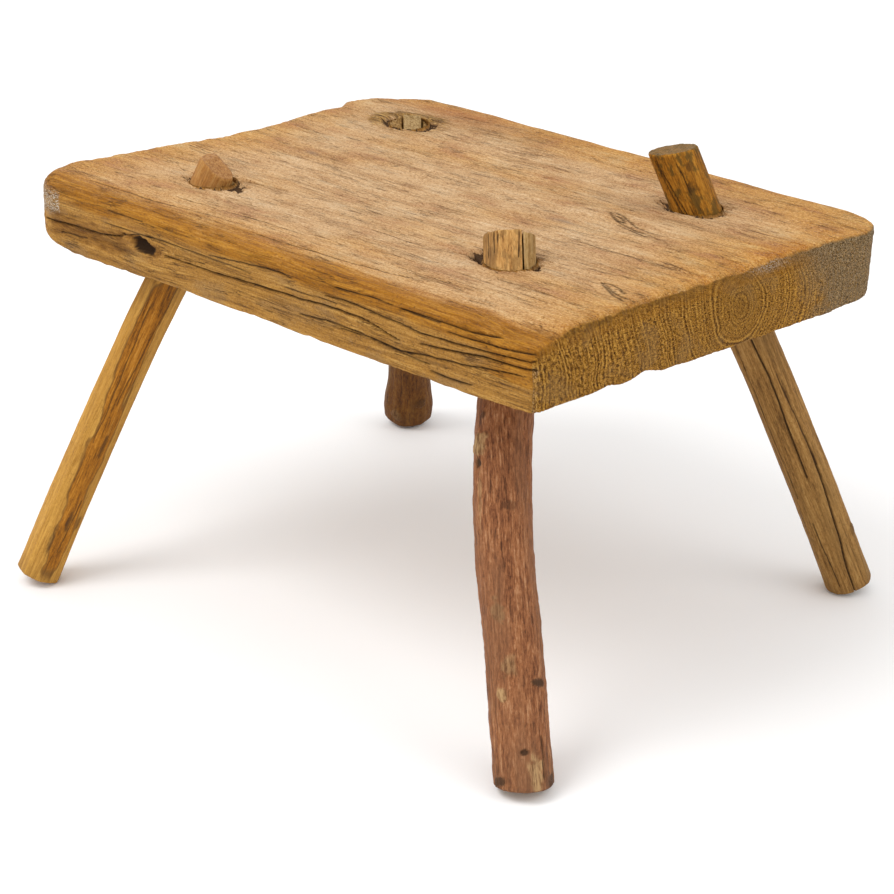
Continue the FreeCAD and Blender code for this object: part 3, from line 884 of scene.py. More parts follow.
# Knots and scars: height, angle in degrees, half length, half breadth, rise (or dip), darkness,
# paleness.
SCARS = {
    "left": (
        (-247, 96, 13, 2.2, -0.4, 0.75, 0.0),
        (-190, 104, 11, 1.8, -0.3, 0.7, 0.0),
        (-262, 72, 15, 2.4, -0.3, 0.6, 0.0),
    ),
    "front": (
        (-109, -58, 9, 5.5, 1.0, 0.1, 0.85),
        (-119, -62, 4, 3.0, -1.2, 1.0, 0.0),
        (-140, -54, 20, 1.6, -0.3, 0.1, 0.4),
        (-77, 4, 2.6, 2.2, 0.3, 0.35, 0.0),
        (-92, -50, 2.2, 1.6, 0.2, 0.75, 0.0),
        (-145, 8, 3.5, 4.0, 0.4, 0.4, 0.0),
        (-252, -36, 5.5, 3.4, 0.9, 0.0, 0.8),
        (-246, 42, 3.0, 5.5, 0.6, 0.95, 0.0),
        (-285, 0, 2.2, 2.6, -1.3, 0.95, 0.0),
        (-236, -18, 9, 5.0, 0.4, 0.25, 0.45),
        (-205, -30, 8, 5.0, 0.3, 0.3, 0.3),
        (-298, 22, 13, 5.5, -0.4, 0.0, 0.7),
        (-301, 66, 6, 6.0, -0.5, 0.8, 0.0),
        (-301, -58, 3.5, 6.0, 0.5, 0.85, 0.1),
    ),
    "right": (
        (30, -70, 4, 3.4, -0.2, 0.6, 0.0),
        (19, -84, 5, 2.6, -0.2, 0.55, 0.0),
        (-246, -30, 6, 4, 0.8, 0.5, 0.0),
    ),
    "rear": (
        (-268, 150, 6, 5, 1.4, 0.3, 0.2),
        (-255, -150, 5, 5, 1.2, 0.4, 0.0),
        (-120, 170, 5, 3, 0.5, 0.4, 0.0),
    ),
}


def stick_marks(leg, angle, height):
    """Depth, darkness and paleness of a stick's cracks and scars."""
    seed = STICKS[leg]["seed"] + 200
    around = np.stack([height, 14 * np.cos(angle), 14 * np.sin(angle)], 1)
    depth, dark, pale = (np.zeros(len(angle)) for _ in range(3))
    for number, (path, width, deepest) in enumerate(STICK_CRACKS[leg]):
        middle = math.radians(np.mean([turn for _, turn in path]))
        arc = np.angle(np.exp(1j * (angle - middle))) * 14.0
        line = [(place, (math.radians(turn) - middle) * 14.0) for place, turn in path]
        wander = 0.25 * fractal(around, (13, 400, 400), seed + number, 2)
        reach, along = path_distance(height, arc + wander, line)
        swell = np.clip(4 * along * (1 - along) + 0.35, 0.35, 1) ** 0.5
        profile = np.clip(1 - reach / (0.5 * width * swell + 0.3), 0, 1)
        depth = np.maximum(depth, profile * deepest)
        dark = np.maximum(dark, smoothstep(0.1, 0.7, profile))
    rag = fractal(around, (4, 4, 4), seed + 90, 3)
    for place, turn, length, breadth, rise, shade, light in SCARS[leg]:
        arc = np.angle(np.exp(1j * (angle - math.radians(turn)))) * 15.0
        blob = 1 - np.hypot((height - place) / length, arc / breadth) + 0.3 * rag
        blob = smoothstep(0.0, 0.45, blob)
        depth -= rise * blob
        dark = np.maximum(dark, shade * blob)
        pale = np.maximum(pale, light * blob)
    return depth, dark, pale


def stick_rows(leg):
    """Rings of points (a, b, height, is cap) from the middle of the tenon's end down to the foot."""
    data = STICKS[leg]
    angles = np.linspace(0, math.tau, AROUND, endpoint=False)
    start = float(max(place for place, _ in data["radius"]))
    end = -SEAT_TOP / math.cos(math.radians(LEGS[leg]["tilt"]))
    top_radius = section_radius(leg, angles, np.full(AROUND, start))
    top_a, top_b = top_radius * np.cos(angles), top_radius * np.sin(angles)
    bow_a, bow_b = curve_at(data["bow_out"], end), curve_at(data["bow_side"], end)
    low_radius = section_radius(leg, angles, np.full(AROUND, end))
    low_a, low_b = low_radius * np.cos(angles) + bow_a, low_radius * np.sin(angles) + bow_b

    rows = []
    for part in np.linspace(CAP_CENTRE, 1, CAP, endpoint=False):
        a, b = top_a * part, top_b * part
        rows.append((a, b, tenon_top(leg, a, b), 1.0))
    high = tenon_top(leg, top_a * 0.985, top_b * 0.985)
    low = foot_height(leg, low_a, low_b)
    for part in np.linspace(0, 1, ALONG):
        height = high + (low - high) * part
        radius = section_radius(leg, angles, height)
        depth, _, _ = stick_marks(leg, angles, height)
        radius = radius - depth
        for gap, rounding in ((high - height, TENON_ROUND), (height - low, data["round"])):
            close = np.clip(1 - gap / rounding, 0, 1)
            radius = radius - rounding * (1 - np.sqrt(1 - close**2))
        a = radius * np.cos(angles) + curve_at(data["bow_out"], height)
        b = radius * np.sin(angles) + curve_at(data["bow_side"], height)
        rows.append((a, b, height, 0.0))
    rim_a, rim_b = rows[-1][0] - bow_a, rows[-1][1] - bow_b
    for part in np.linspace(1, CAP_CENTRE, CAP + 1)[1:]:
        a, b = rim_a * part + bow_a, rim_b * part + bow_b
        rough = fractal(np.stack([a, b, 0 * a], 1), (4, 4, 4), data["seed"] + 77, 3)
        dome = np.clip(0.9 * (1 - part**2) + 0.25 * rough, 0, 2)
        rows.append((a, b, foot_height(leg, a, b) - dome * smoothstep(-8, 2, a), 1.0))
    return rows


def left_streak(height, angle, spots, cap):
    """The darker stripe down the left stick where its bark was left on."""
    middle = 88 + 8 * np.sin(height / 55.0)
    width = curve_at(STREAK_WIDTH, height)
    off = np.degrees(np.abs(np.angle(np.exp(1j * (angle - np.radians(middle))))))
    ragged = 9 * fractal(spots, (22, 4, 4), STICKS["left"]["seed"] + 35, 3)
    streak = smoothstep(4, -4, off - width + ragged) * smoothstep(-40, -56, height)
    return streak * (smoothstep(-293, -280, height) * (1 - cap))


def with_ends(values, first, last):
    return np.concatenate([values, [first, last]])


def make_stick(leg, material):
    data = STICKS[leg]
    origin, out, side, up = leg_axes(leg)
    rows = stick_rows(leg)
    a, b, height = (np.concatenate([row[k] for row in rows]) for k in range(3))
    angle = np.tile(np.linspace(0, math.tau, AROUND, endpoint=False), len(rows))
    cap = np.repeat([row[3] for row in rows], AROUND)
    points = origin + a[:, None] * out + b[:, None] * side + height[:, None] * up
    points[:, 2] = np.maximum(points[:, 2], 0.02)
    first, last = len(points), len(points) + 1
    points = np.vstack([points, points[:AROUND].mean(0), points[-AROUND:].mean(0)])

    faces = ring_faces(len(rows), AROUND)
    bottom = (len(rows) - 1) * AROUND
    for i in range(AROUND):
        j = (i + 1) % AROUND
        faces.append((first, i, j))
        faces.append((last, bottom + j, bottom + i))
    mesh = mesh_of(f"stick_{leg}", points, faces)

    a, b, angle = (with_ends(values, 0, 0) for values in (a, b, angle))
    height = with_ends(height, height[0], height[-1])
    cap = with_ends(cap, 1, 1)
    _, dark, pale = stick_marks(leg, angle, height)
    spots = np.stack([height, a, b], 1)
    flow = fractal(spots, (80, 18, 18), data["seed"] + 31, 2)
    # Painted shade: a dark band on every stick just below the seat's lower face, where the seat shades it,
    # and on the front stick one side of its tenon above the seat.
    shade = smoothstep(-20, -50, height) * smoothstep(-92, -56, height)
    if leg == "front":
        turn = np.degrees(angle) - 360 * (angle > math.pi)
        shade = shade + smoothstep(-30, -44, turn) * smoothstep(-8, 0, height) * smoothstep(-84, -66, turn)
    store(mesh, "grain", np.stack([height, a + 0.9 * flow, b + 0.9 * flow], 1))
    store(mesh, "crack_and_shade", dark * (1 - cap))
    store(mesh, "pale", pale * (1 - cap))
    store(mesh, "streak", left_streak(height, angle, spots, cap) if leg == "left" else np.zeros(len(a)))
    store(mesh, "cap", cap)
    store(mesh, "tenon", smoothstep(-44, -36, height))
    # Besides the painted shade, each stick is also coloured darker towards its foot.
    store(mesh, "shade_and_grime", np.clip(shade + 0.7 * smoothstep(-272, -300, height), 0, 1))
    return finish_piece(new_piece(f"stick_{leg}", mesh), f"leg_{leg}", material)


# ---------------------------------------------------------------- shims and wedge


BLOCK_SIDES, BLOCK_TOP, BLOCK_DOWN = 96, 10, 60  # points round a block, rings on its top and side


def block(name, leg, corners, levels, seed, node, material, bumps=0.35):
    """A split block: rings of one outline at several levels, closed and roughened."""
    origin, out, side, up = leg_axes(leg)
    perimeter = np.array([*corners, corners[0]])
    lengths = running_length(perimeter)
    plan = spots_along(perimeter, lengths, np.linspace(0, lengths[-1], BLOCK_SIDES, endpoint=False))
    middle = plan.mean(0)
    low, high, narrow, tilt_a, tilt_b = levels
    rows = [(part, 1.0) for part in np.linspace(0.05, 1, BLOCK_TOP, endpoint=False)]
    rows += [(1 - (1 - narrow) * part, 1 - part) for part in np.linspace(0, 1, BLOCK_DOWN)]
    points, grain = [], []
    for size, level in rows:
        spot = middle + (plan - middle) * size
        top = high + tilt_a * (spot[:, 0] - middle[0]) + tilt_b * (spot[:, 1] - middle[1])
        flat = np.stack([spot[:, 0], spot[:, 1], np.zeros(BLOCK_SIDES)], 1)
        top = top + 0.5 * fractal(flat, (3, 3, 3), seed, 3)
        height = low + (top - low) * level
        local = np.stack([height, spot[:, 0], spot[:, 1]], 1)
        rough = bumps * fractal(local, (14, 1.8, 1.8), seed + 5, 3)
        away = spot - middle
        reach = np.linalg.norm(away, axis=1) + 1e-6
        rim = smoothstep(0.3, 0.9, reach / reach.max())[:, None]
        moved = spot + away / reach[:, None] * np.minimum(rough, 0.1)[:, None] * rim
        points.append(origin + moved[:, :1] * out + moved[:, 1:] * side + height[:, None] * up)
        grain.append(local)
    points = np.concatenate(points)
    faces = ring_faces(len(rows), BLOCK_SIDES)
    faces.append(tuple(range(BLOCK_SIDES)))
    faces.append(tuple((len(rows) - 1) * BLOCK_SIDES + i for i in reversed(range(BLOCK_SIDES))))
    mesh = mesh_of(name, points, faces)
    store(mesh, "grain", np.concatenate(grain))
    for mask in ("crack_and_shade", "pale", "streak", "shade_and_grime"):
        store(mesh, mask, np.zeros(len(points)))
    store(mesh, "cap", np.repeat([1.0, 0.0], [BLOCK_TOP * BLOCK_SIDES, BLOCK_DOWN * BLOCK_SIDES]))
    store(mesh, "tenon", np.ones(len(points)))
    return finish_piece(new_piece(name, mesh), node, material)


def arc_corners(radius, facing, start):
    """A round piece's cross section beyond a flat, as corners in the leg's own frame."""
    half = math.acos(start / radius)
    angle = math.radians(facing)
    turns = np.linspace(-half, half, 24)
    return [(radius * math.cos(angle + t), radius * math.sin(angle + t)) for t in turns]


# ---------------------------------------------------------------- materials


# Places of a Mix node's colour sockets, which share their names with its number sockets.
COLOUR_A, COLOUR_B, COLOUR_RESULT = 6, 7, 2


class Shader:
    """A material's node tree, built by short calls."""

    def __init__(self, name):
        self.material = bpy.data.materials.new(name)
        self.material.use_nodes = True
        self.tree = self.material.node_tree
        self.tree.nodes.clear()
        self.output = self.tree.nodes.new("ShaderNodeOutputMaterial")

    def put(self, socket, value):
        if isinstance(value, bpy.types.NodeSocket):
            self.tree.links.new(value, socket)
        elif value is not None:
            if isinstance(value, (tuple, list)) and len(value) == 3 and socket.type == "RGBA":
                value = (*value, 1.0)
            socket.default_value = value

    def mask(self, name):
        node = self.tree.nodes.new("ShaderNodeAttribute")
        node.attribute_name = name
        return node.outputs["Fac"]

    def vector(self, name):
        node = self.tree.nodes.new("ShaderNodeAttribute")
        node.attribute_name = name
        return node.outputs["Vector"]

    def stretch(self, vector, scale, offset=(0.0, 0.0, 0.0)):
        node = self.tree.nodes.new("ShaderNodeVectorMath")
        node.operation = "MULTIPLY_ADD"
        self.put(node.inputs[0], vector)
        node.inputs[1].default_value, node.inputs[2].default_value = scale, offset
        return node.outputs["Vector"]

    def noise(self, vector, detail=3.0, roughness=0.55, distortion=0.0, scale=1.0):
        node = self.tree.nodes.new("ShaderNodeTexNoise")
        self.put(node.inputs["Vector"], vector)
        node.inputs["Scale"].default_value = scale
        node.inputs["Detail"].default_value = detail
        node.inputs["Roughness"].default_value = roughness
        node.inputs["Distortion"].default_value = distortion
        return node.outputs["Fac"]

    def noise_1d(self, value, detail=2.0, roughness=0.5):
        node = self.tree.nodes.new("ShaderNodeTexNoise")
        node.noise_dimensions = "1D"
        self.put(node.inputs["W"], value)
        node.inputs["Scale"].default_value = 1.0
        node.inputs["Detail"].default_value = detail
        node.inputs["Roughness"].default_value = roughness
        return node.outputs["Fac"]

    def math(self, operation, one, two=None, clamp=False):
        node = self.tree.nodes.new("ShaderNodeMath")
        node.operation, node.use_clamp = operation, clamp
        self.put(node.inputs[0], one)
        self.put(node.inputs[1], two)
        return node.outputs[0]

    def times(self, one, two):
        return self.math("MULTIPLY", one, two)

    def weighted(self, *parts):
        """The sum of values, each times its share."""
        total = None
        for value, share in parts:
            part = self.times(value, share)
            total = part if total is None else self.math("ADD", total, part)
        return total

    def step(self, value, low, high, out_low=0.0, out_high=1.0):
        node = self.tree.nodes.new("ShaderNodeMapRange")
        node.interpolation_type = "SMOOTHSTEP"
        self.put(node.inputs["Value"], value)
        ends = {"From Min": low, "From Max": high, "To Min": out_low, "To Max": out_high}
        for socket, number in ends.items():
            node.inputs[socket].default_value = number
        return node.outputs[0]

    def ramp(self, value, stops):
        node = self.tree.nodes.new("ShaderNodeValToRGB")
        elements = node.color_ramp.elements
        while len(elements) < len(stops):
            elements.new(0.5)
        for element, (place, colour) in zip(elements, stops):
            element.position, element.color = place, (*colour, 1.0)
        self.put(node.inputs["Fac"], value)
        return node.outputs["Color"]

    def mix(self, share, one, two, blend="MIX"):
        node = self.tree.nodes.new("ShaderNodeMix")
        node.data_type, node.blend_type = "RGBA", blend
        self.put(node.inputs["Factor"], share)
        self.put(node.inputs[COLOUR_A], one)
        self.put(node.inputs[COLOUR_B], two)
        return node.outputs[COLOUR_RESULT]

    def length_from(self, vector, centre, squash):
        """Distance from a line along the grain, for the growth rings."""
        moved = self.stretch(vector, squash, tuple(-c * s for c, s in zip(centre, squash)))
        node = self.tree.nodes.new("ShaderNodeVectorMath")
        node.operation = "LENGTH"
        self.put(node.inputs[0], moved)
        return node.outputs["Value"]

    def fine_checks(self, vector, scale, width, gate_scale, gate, offset=(0.0, 0.0, 0.0)):
        """Hair-thin dark lines along the grain: where stretched noise crosses its middle."""
        waves = self.noise(self.stretch(vector, scale, offset), detail=2.0, roughness=0.5, distortion=0.25)
        reach = self.math("ABSOLUTE", self.math("SUBTRACT", waves, 0.5))
        line = self.step(reach, width, width * 0.25)
        open_at = self.noise(self.stretch(vector, gate_scale, (5.1, 2.7, 9.3)), detail=2.0)
        return self.math("MULTIPLY", line, self.step(open_at, gate, gate + 0.1))

    def surface(self, colour, roughness, height, distance, strength=1.0, specular=0.14):
        bsdf = self.tree.nodes.new("ShaderNodeBsdfPrincipled")
        self.put(bsdf.inputs["Base Color"], colour)
        self.put(bsdf.inputs["Roughness"], roughness)
        bsdf.inputs["Specular IOR Level"].default_value = specular
        bump = self.tree.nodes.new("ShaderNodeBump")
        bump.inputs["Strength"].default_value = strength
        bump.inputs["Distance"].default_value = distance
        self.put(bump.inputs["Height"], height)
        self.tree.links.new(bump.outputs["Normal"], bsdf.inputs["Normal"])
        self.tree.links.new(bsdf.outputs["BSDF"], self.output.inputs["Surface"])
        return self.material


def plank_material():
    s = Shader("weathered_plank")
    grain = s.vector("grain")
    top, end = s.mask("top_face"), s.mask("end_grain")
    broad = s.noise(s.stretch(grain, (0.008, 0.022, 0.022)), detail=3.0)
    patches = s.noise(s.stretch(grain, (0.022, 0.045, 0.045), (7.0, 3.0, 5.0)), detail=4.0, roughness=0.6)
    streaks = s.noise(s.stretch(grain, (0.012, 0.30, 0.30)), detail=5.0, roughness=0.65, distortion=0.3)
    fibre = s.noise(s.stretch(grain, (0.045, 1.25, 1.25)), detail=5.0, roughness=0.7)
    fleck = s.noise(s.stretch(grain, (0.12, 0.9, 0.9), (3.0, 1.0, 7.0)), detail=4.0, roughness=0.7)
    dust = s.noise(s.stretch(grain, (0.55, 0.85, 0.85), (1.0, 6.0, 2.0)), detail=4.0, roughness=0.75)

    radius = s.length_from(grain, (0.0, PITH[0], PITH[1]), (0.0, 1.0, 1.0))
    wobble = s.noise(s.stretch(grain, (0.006, 0.05, 0.05)), detail=3.0)
    radius = s.math("ADD", radius, s.times(wobble, 7.0))
    rings = s.noise_1d(s.times(radius, 0.36), detail=3.0, roughness=0.6)
    late = s.step(rings, 0.54, 0.64)
    checks = s.fine_checks(grain, (0.009, 0.34, 0.34), 0.011, (0.014, 0.06, 0.06), 0.52)
    short = s.fine_checks(grain, (0.030, 0.75, 0.75), 0.020, (0.03, 0.10, 0.10), 0.50, (9.0, 4.0, 2.0))

    mixed = s.weighted((fibre, 0.40), (streaks, 0.40), (dust, 0.20))
    side_tone = s.ramp(mixed, (
        (0.38, (0.120, 0.050, 0.008)), (0.45, (0.265, 0.120, 0.019)),
        (0.53, (0.400, 0.196, 0.038)), (0.62, (0.530, 0.300, 0.080)),
    ))
    aged = s.step(patches, 0.50, 0.66)
    old_side = s.mix(dust, (0.17, 0.090, 0.026), (0.36, 0.215, 0.092))
    side_tone = s.mix(s.times(aged, 0.50), side_tone, old_side)
    mottled = s.weighted((fibre, 0.26), (streaks, 0.14), (dust, 0.36), (patches, 0.24))
    top_tone = s.ramp(mottled, (
        (0.41, (0.260, 0.125, 0.048)), (0.465, (0.450, 0.255, 0.112)),
        (0.525, (0.565, 0.355, 0.178)), (0.59, (0.700, 0.510, 0.315)),
    ))
    gold_tone = s.ramp(mottled, (
        (0.41, (0.215, 0.074, 0.010)), (0.465, (0.405, 0.178, 0.034)),
        (0.525, (0.525, 0.265, 0.066)), (0.59, (0.660, 0.410, 0.145)),
    ))
    bleached = s.times(s.mask("bleached"), s.step(broad, 0.30, 0.56, 0.50, 1.0))
    top_tone = s.mix(bleached, gold_tone, top_tone)
    top_tone = s.mix(s.times(late, 0.12), top_tone, (0.34, 0.165, 0.062))
    blush = s.times(s.step(patches, 0.46, 0.30), s.step(fleck, 0.35, 0.65, 0.15, 0.50))
    top_tone = s.mix(blush, top_tone, (0.46, 0.215, 0.105))
    ashen = s.times(s.step(patches, 0.56, 0.70), s.step(dust, 0.40, 0.62, 0.10, 0.45))
    top_tone = s.mix(ashen, top_tone, (0.36, 0.255, 0.150))

    # End grain: rings round the heart, crossed by rays, and pitted.
    split_yz = s.tree.nodes.new("ShaderNodeSeparateXYZ")
    s.put(split_yz.inputs[0], grain)
    across = s.math("SUBTRACT", split_yz.outputs["Y"], PITH[0])
    above = s.math("SUBTRACT", split_yz.outputs["Z"], PITH[1])
    angle = s.math("ARCTAN2", above, across)
    polar = s.tree.nodes.new("ShaderNodeCombineXYZ")
    s.put(polar.inputs[0], s.times(angle, 62.0))
    s.put(polar.inputs[1], s.times(radius, 0.42))
    rays = s.noise(polar.outputs[0], detail=3.0, roughness=0.65)
    pits = s.noise(s.stretch(grain, (0.9, 1.55, 1.55), (2.0, 5.0, 1.0)), detail=3.0, roughness=0.7)
    wave = s.math("SINE", s.times(radius, math.tau / 2.7))
    end_ring = s.noise_1d(s.times(radius, 0.55), detail=2.0, roughness=0.5)
    end_mix = s.weighted((pits, 0.60), (rays, 0.40))
    wave = s.times(wave, s.step(radius, 4.0, 34.0, 0.30, 1.0))
    end_mix = s.math("ADD", end_mix, s.times(wave, 0.019))
    end_mix = s.math("ADD", end_mix, s.times(s.math("SUBTRACT", end_ring, 0.5), 0.18))
    end_tone = s.ramp(end_mix, (
        (0.41, (0.040, 0.014, 0.001)), (0.46, (0.170, 0.067, 0.006)),
        (0.52, (0.365, 0.162, 0.017)), (0.59, (0.620, 0.330, 0.062)),
    ))
    end_aged = s.times(aged, 0.35)
    end_tone = s.mix(end_aged, end_tone, s.mix(dust, (0.13, 0.070, 0.020), (0.40, 0.230, 0.090)))
    # On the plank this mask is a darker band just under the upper edge of the sawn end.
    shade_and_grime = s.times(s.mask("shade_and_grime"), s.step(pits, 0.40, 0.62, 0.30, 0.80))
    end_tone = s.mix(shade_and_grime, end_tone, (0.070, 0.040, 0.008))

    amber_tone = s.ramp(mottled, (
        (0.41, (0.190, 0.054, 0.003)), (0.465, (0.365, 0.124, 0.010)),
        (0.525, (0.500, 0.208, 0.027)), (0.59, (0.655, 0.345, 0.070)),
    ))
    amber = s.times(s.mask("amber"), s.step(patches, 0.36, 0.60, 0.95, 0.35))
    top_tone = s.mix(amber, top_tone, amber_tone)
    soil = s.times(s.mask("soil"), s.step(fleck, 0.38, 0.60, 0.15, 0.75))
    top_tone = s.mix(soil, top_tone, (0.250, 0.125, 0.040))
    colour = s.mix(top, side_tone, top_tone)
    grit = s.noise(s.stretch(grain, (0.85, 1.25, 1.25), (8.0, 2.0, 6.0)), detail=2.0, roughness=0.6)
    colour = s.mix(s.step(grit, 0.47, 0.36, 0.0, 0.30), colour, (0.150, 0.070, 0.022))
    pale_grit = s.times(s.step(grit, 0.53, 0.66, 0.0, 0.26), s.step(top, 0.0, 1.0, 0.25, 1.0))
    colour = s.mix(pale_grit, colour, (0.78, 0.55, 0.32))
    colour = s.mix(end, colour, end_tone)
    wear = s.times(s.mask("wear"), s.step(fleck, 0.34, 0.60, 0.70, 1.0))
    wear_tone = s.ramp(mixed, (
        (0.39, (0.130, 0.042, 0.002)), (0.49, (0.285, 0.108, 0.006)), (0.60, (0.46, 0.205, 0.022)),
    ))
    colour = s.mix(wear, colour, wear_tone)
    left_tone = s.mix(dust, (0.16, 0.070, 0.014), (0.40, 0.205, 0.062))
    colour = s.mix(s.times(s.mask("left_end"), 0.5), colour, left_tone)
    grey = s.times(s.mask("grey"), s.step(dust, 0.36, 0.60, 0.50, 1.0))
    grey_tone = s.ramp(pits, (
        (0.40, (0.045, 0.026, 0.011)), (0.50, (0.180, 0.120, 0.058)), (0.60, (0.43, 0.310, 0.170)),
    ))
    colour = s.mix(grey, colour, grey_tone)
    colour = s.mix(s.times(s.mask("chalk"), s.step(pits, 0.48, 0.60)), colour, (0.50, 0.44, 0.36))
    spot = s.times(s.mask("spot"), s.step(fibre, 0.38, 0.58, 0.2, 0.75))
    colour = s.mix(spot, colour, (0.17, 0.125, 0.095))
    red = s.times(s.mask("red"), s.step(fibre, 0.38, 0.58, 0.2, 0.6))
    colour = s.mix(red, colour, (0.36, 0.115, 0.040))
    # Stains on the knot hole and the rotted trail, and painted shade on the walls of the bores.
    stain_and_shade = s.times(s.mask("stain_and_shade"), s.step(fleck, 0.34, 0.58, 0.95, 0.55))
    colour = s.mix(stain_and_shade, colour, s.mix(fleck, (0.045, 0.015, 0.003), (0.26, 0.100, 0.010)))
    torn = s.math("ADD", s.mask("mouth"), s.times(s.math("SUBTRACT", fleck, 0.5), 1.4))
    colour = s.mix(s.times(s.mask("fringe"), 0.85), colour, s.ramp(fibre, (
        (0.42, (0.045, 0.018, 0.004)), (0.50, (0.230, 0.110, 0.022)), (0.58, (0.500, 0.300, 0.090)),
    )))
    # Painted shade: the torn hollows round the tenons are coloured near black.
    colour = s.mix(s.step(torn, 0.50, 0.74, 0.0, 0.92), colour, (0.036, 0.015, 0.005))

    lines = s.math("MAXIMUM", s.times(checks, 0.75), s.times(short, 0.85))
    lines = s.times(lines, s.step(end, 0.0, 0.5, 1.0, 0.0))
    lines = s.times(lines, s.step(s.mask("bleached"), 0.2, 1.0, 1.0, 0.78))
    colour = s.mix(lines, colour, (0.090, 0.034, 0.009))
    dirt = s.times(s.step(dust, 0.415, 0.35), 0.65)
    colour = s.mix(dirt, colour, (0.12, 0.056, 0.020))
    # Cracks, and painted shade in the knot hole's pit, are coloured near black.
    crack_and_shade = s.mask("crack_and_shade")
    colour = s.mix(s.times(crack_and_shade, 0.97), colour, (0.020, 0.008, 0.002))

    roughness = s.step(fibre, 0.3, 0.7, 0.62, 0.88)
    height = s.weighted((fibre, 0.6), (streaks, 0.4), (dust, 0.35))
    height = s.math("SUBTRACT", height, s.times(lines, 0.8))
    height = s.math("ADD", height, s.times(s.times(end_mix, 2.2), end))
    return s.surface(colour, roughness, height, 0.0012, 0.85)


def stick_material(name, look):
    """Bark or bare stick; the look gives its tones and how strong its marks are."""
    s = Shader(name)
    grain = s.vector("grain")
    broad = s.noise(s.stretch(grain, (0.012, 0.05, 0.05)), detail=3.0)
    streaks = s.noise(s.stretch(grain, (0.018, 0.34, 0.34)), detail=4.0, roughness=0.6, distortion=0.3)
    fibre = s.noise(s.stretch(grain, (0.060, 1.5, 1.5)), detail=5.0, roughness=0.7)
    dust = s.noise(s.stretch(grain, (0.5, 0.9, 0.9), (4.0, 3.0, 2.0)), detail=4.0, roughness=0.75)
    speck = s.noise(s.stretch(grain, look["speck_scale"], (2.0, 7.0, 1.0)), detail=3.0, roughness=0.7)
    checks = s.fine_checks(
        grain, (0.010, 0.33, 0.33), look["check_width"], (0.02, 0.09, 0.09), look["check_gate"]
    )

    share = look["speck_share"]
    rest = 1.0 - share - 0.15
    mixed = s.weighted((fibre, 0.5 * rest), (streaks, 0.5 * rest), (dust, 0.15), (speck, share))
    colour = s.ramp(mixed, look["tones"])
    colour = s.mix(s.times(s.step(broad, 0.45, 0.65), look["patch"]), colour, look["patch_tone"])
    tenon = s.mask("tenon")
    bare = s.ramp(mixed, look["tenon_tones"])
    mottle = s.noise(s.stretch(grain, (0.07, 0.15, 0.15), (6.0, 1.0, 4.0)), detail=4.0, roughness=0.65)
    bare = s.mix(s.step(mottle, 0.49, 0.58, 0.0, look["mottle"]), bare, look["mottle_tone"])
    colour = s.mix(tenon, colour, bare)
    streak_tone = s.ramp(mixed, (
        (0.40, (0.095, 0.034, 0.004)), (0.47, (0.280, 0.102, 0.008)),
        (0.53, (0.410, 0.160, 0.014)), (0.61, (0.54, 0.25, 0.04)),
    ))
    streak = s.mask("streak")
    colour = s.mix(streak, colour, streak_tone)
    rim = s.times(streak, s.math("SUBTRACT", 1.0, streak))
    colour = s.mix(s.times(rim, 2.4), colour, (0.085, 0.036, 0.010))
    cap = s.mask("cap")
    colour = s.mix(s.times(cap, 0.75), colour, s.ramp(speck, look["cap_tones"]))
    # Painted shade: darkens each stick just below the seat and one side of the front tenon; it also darkens
    # the feet.
    shade_and_grime = s.times(s.mask("shade_and_grime"), s.step(streaks, 0.35, 0.6, 0.65, 0.25))
    colour = s.mix(shade_and_grime, colour, look["shade_and_grime_tone"])
    pale_tone = s.ramp(speck, ((0.38, (0.20, 0.10, 0.04)), (0.55, (0.52, 0.33, 0.15))))
    colour = s.mix(s.mask("pale"), colour, pale_tone)
    lines = s.times(checks, look["check_share"])
    colour = s.mix(lines, colour, look["crack_tone"])
    colour = s.mix(s.times(s.step(dust, 0.40, 0.33), 0.5), colour, look["shade_and_grime_tone"])
    colour = s.mix(s.times(s.mask("crack_and_shade"), 0.93), colour, look["crack_tone"])
    roughness = s.step(fibre, 0.3, 0.7, look["roughness"][0], look["roughness"][1])
    height = s.weighted((fibre, 0.5), (speck, look["speck_bump"]))
    height = s.math("SUBTRACT", height, s.times(lines, 0.7))
    return s.surface(colour, roughness, height, 0.0010, 0.85)


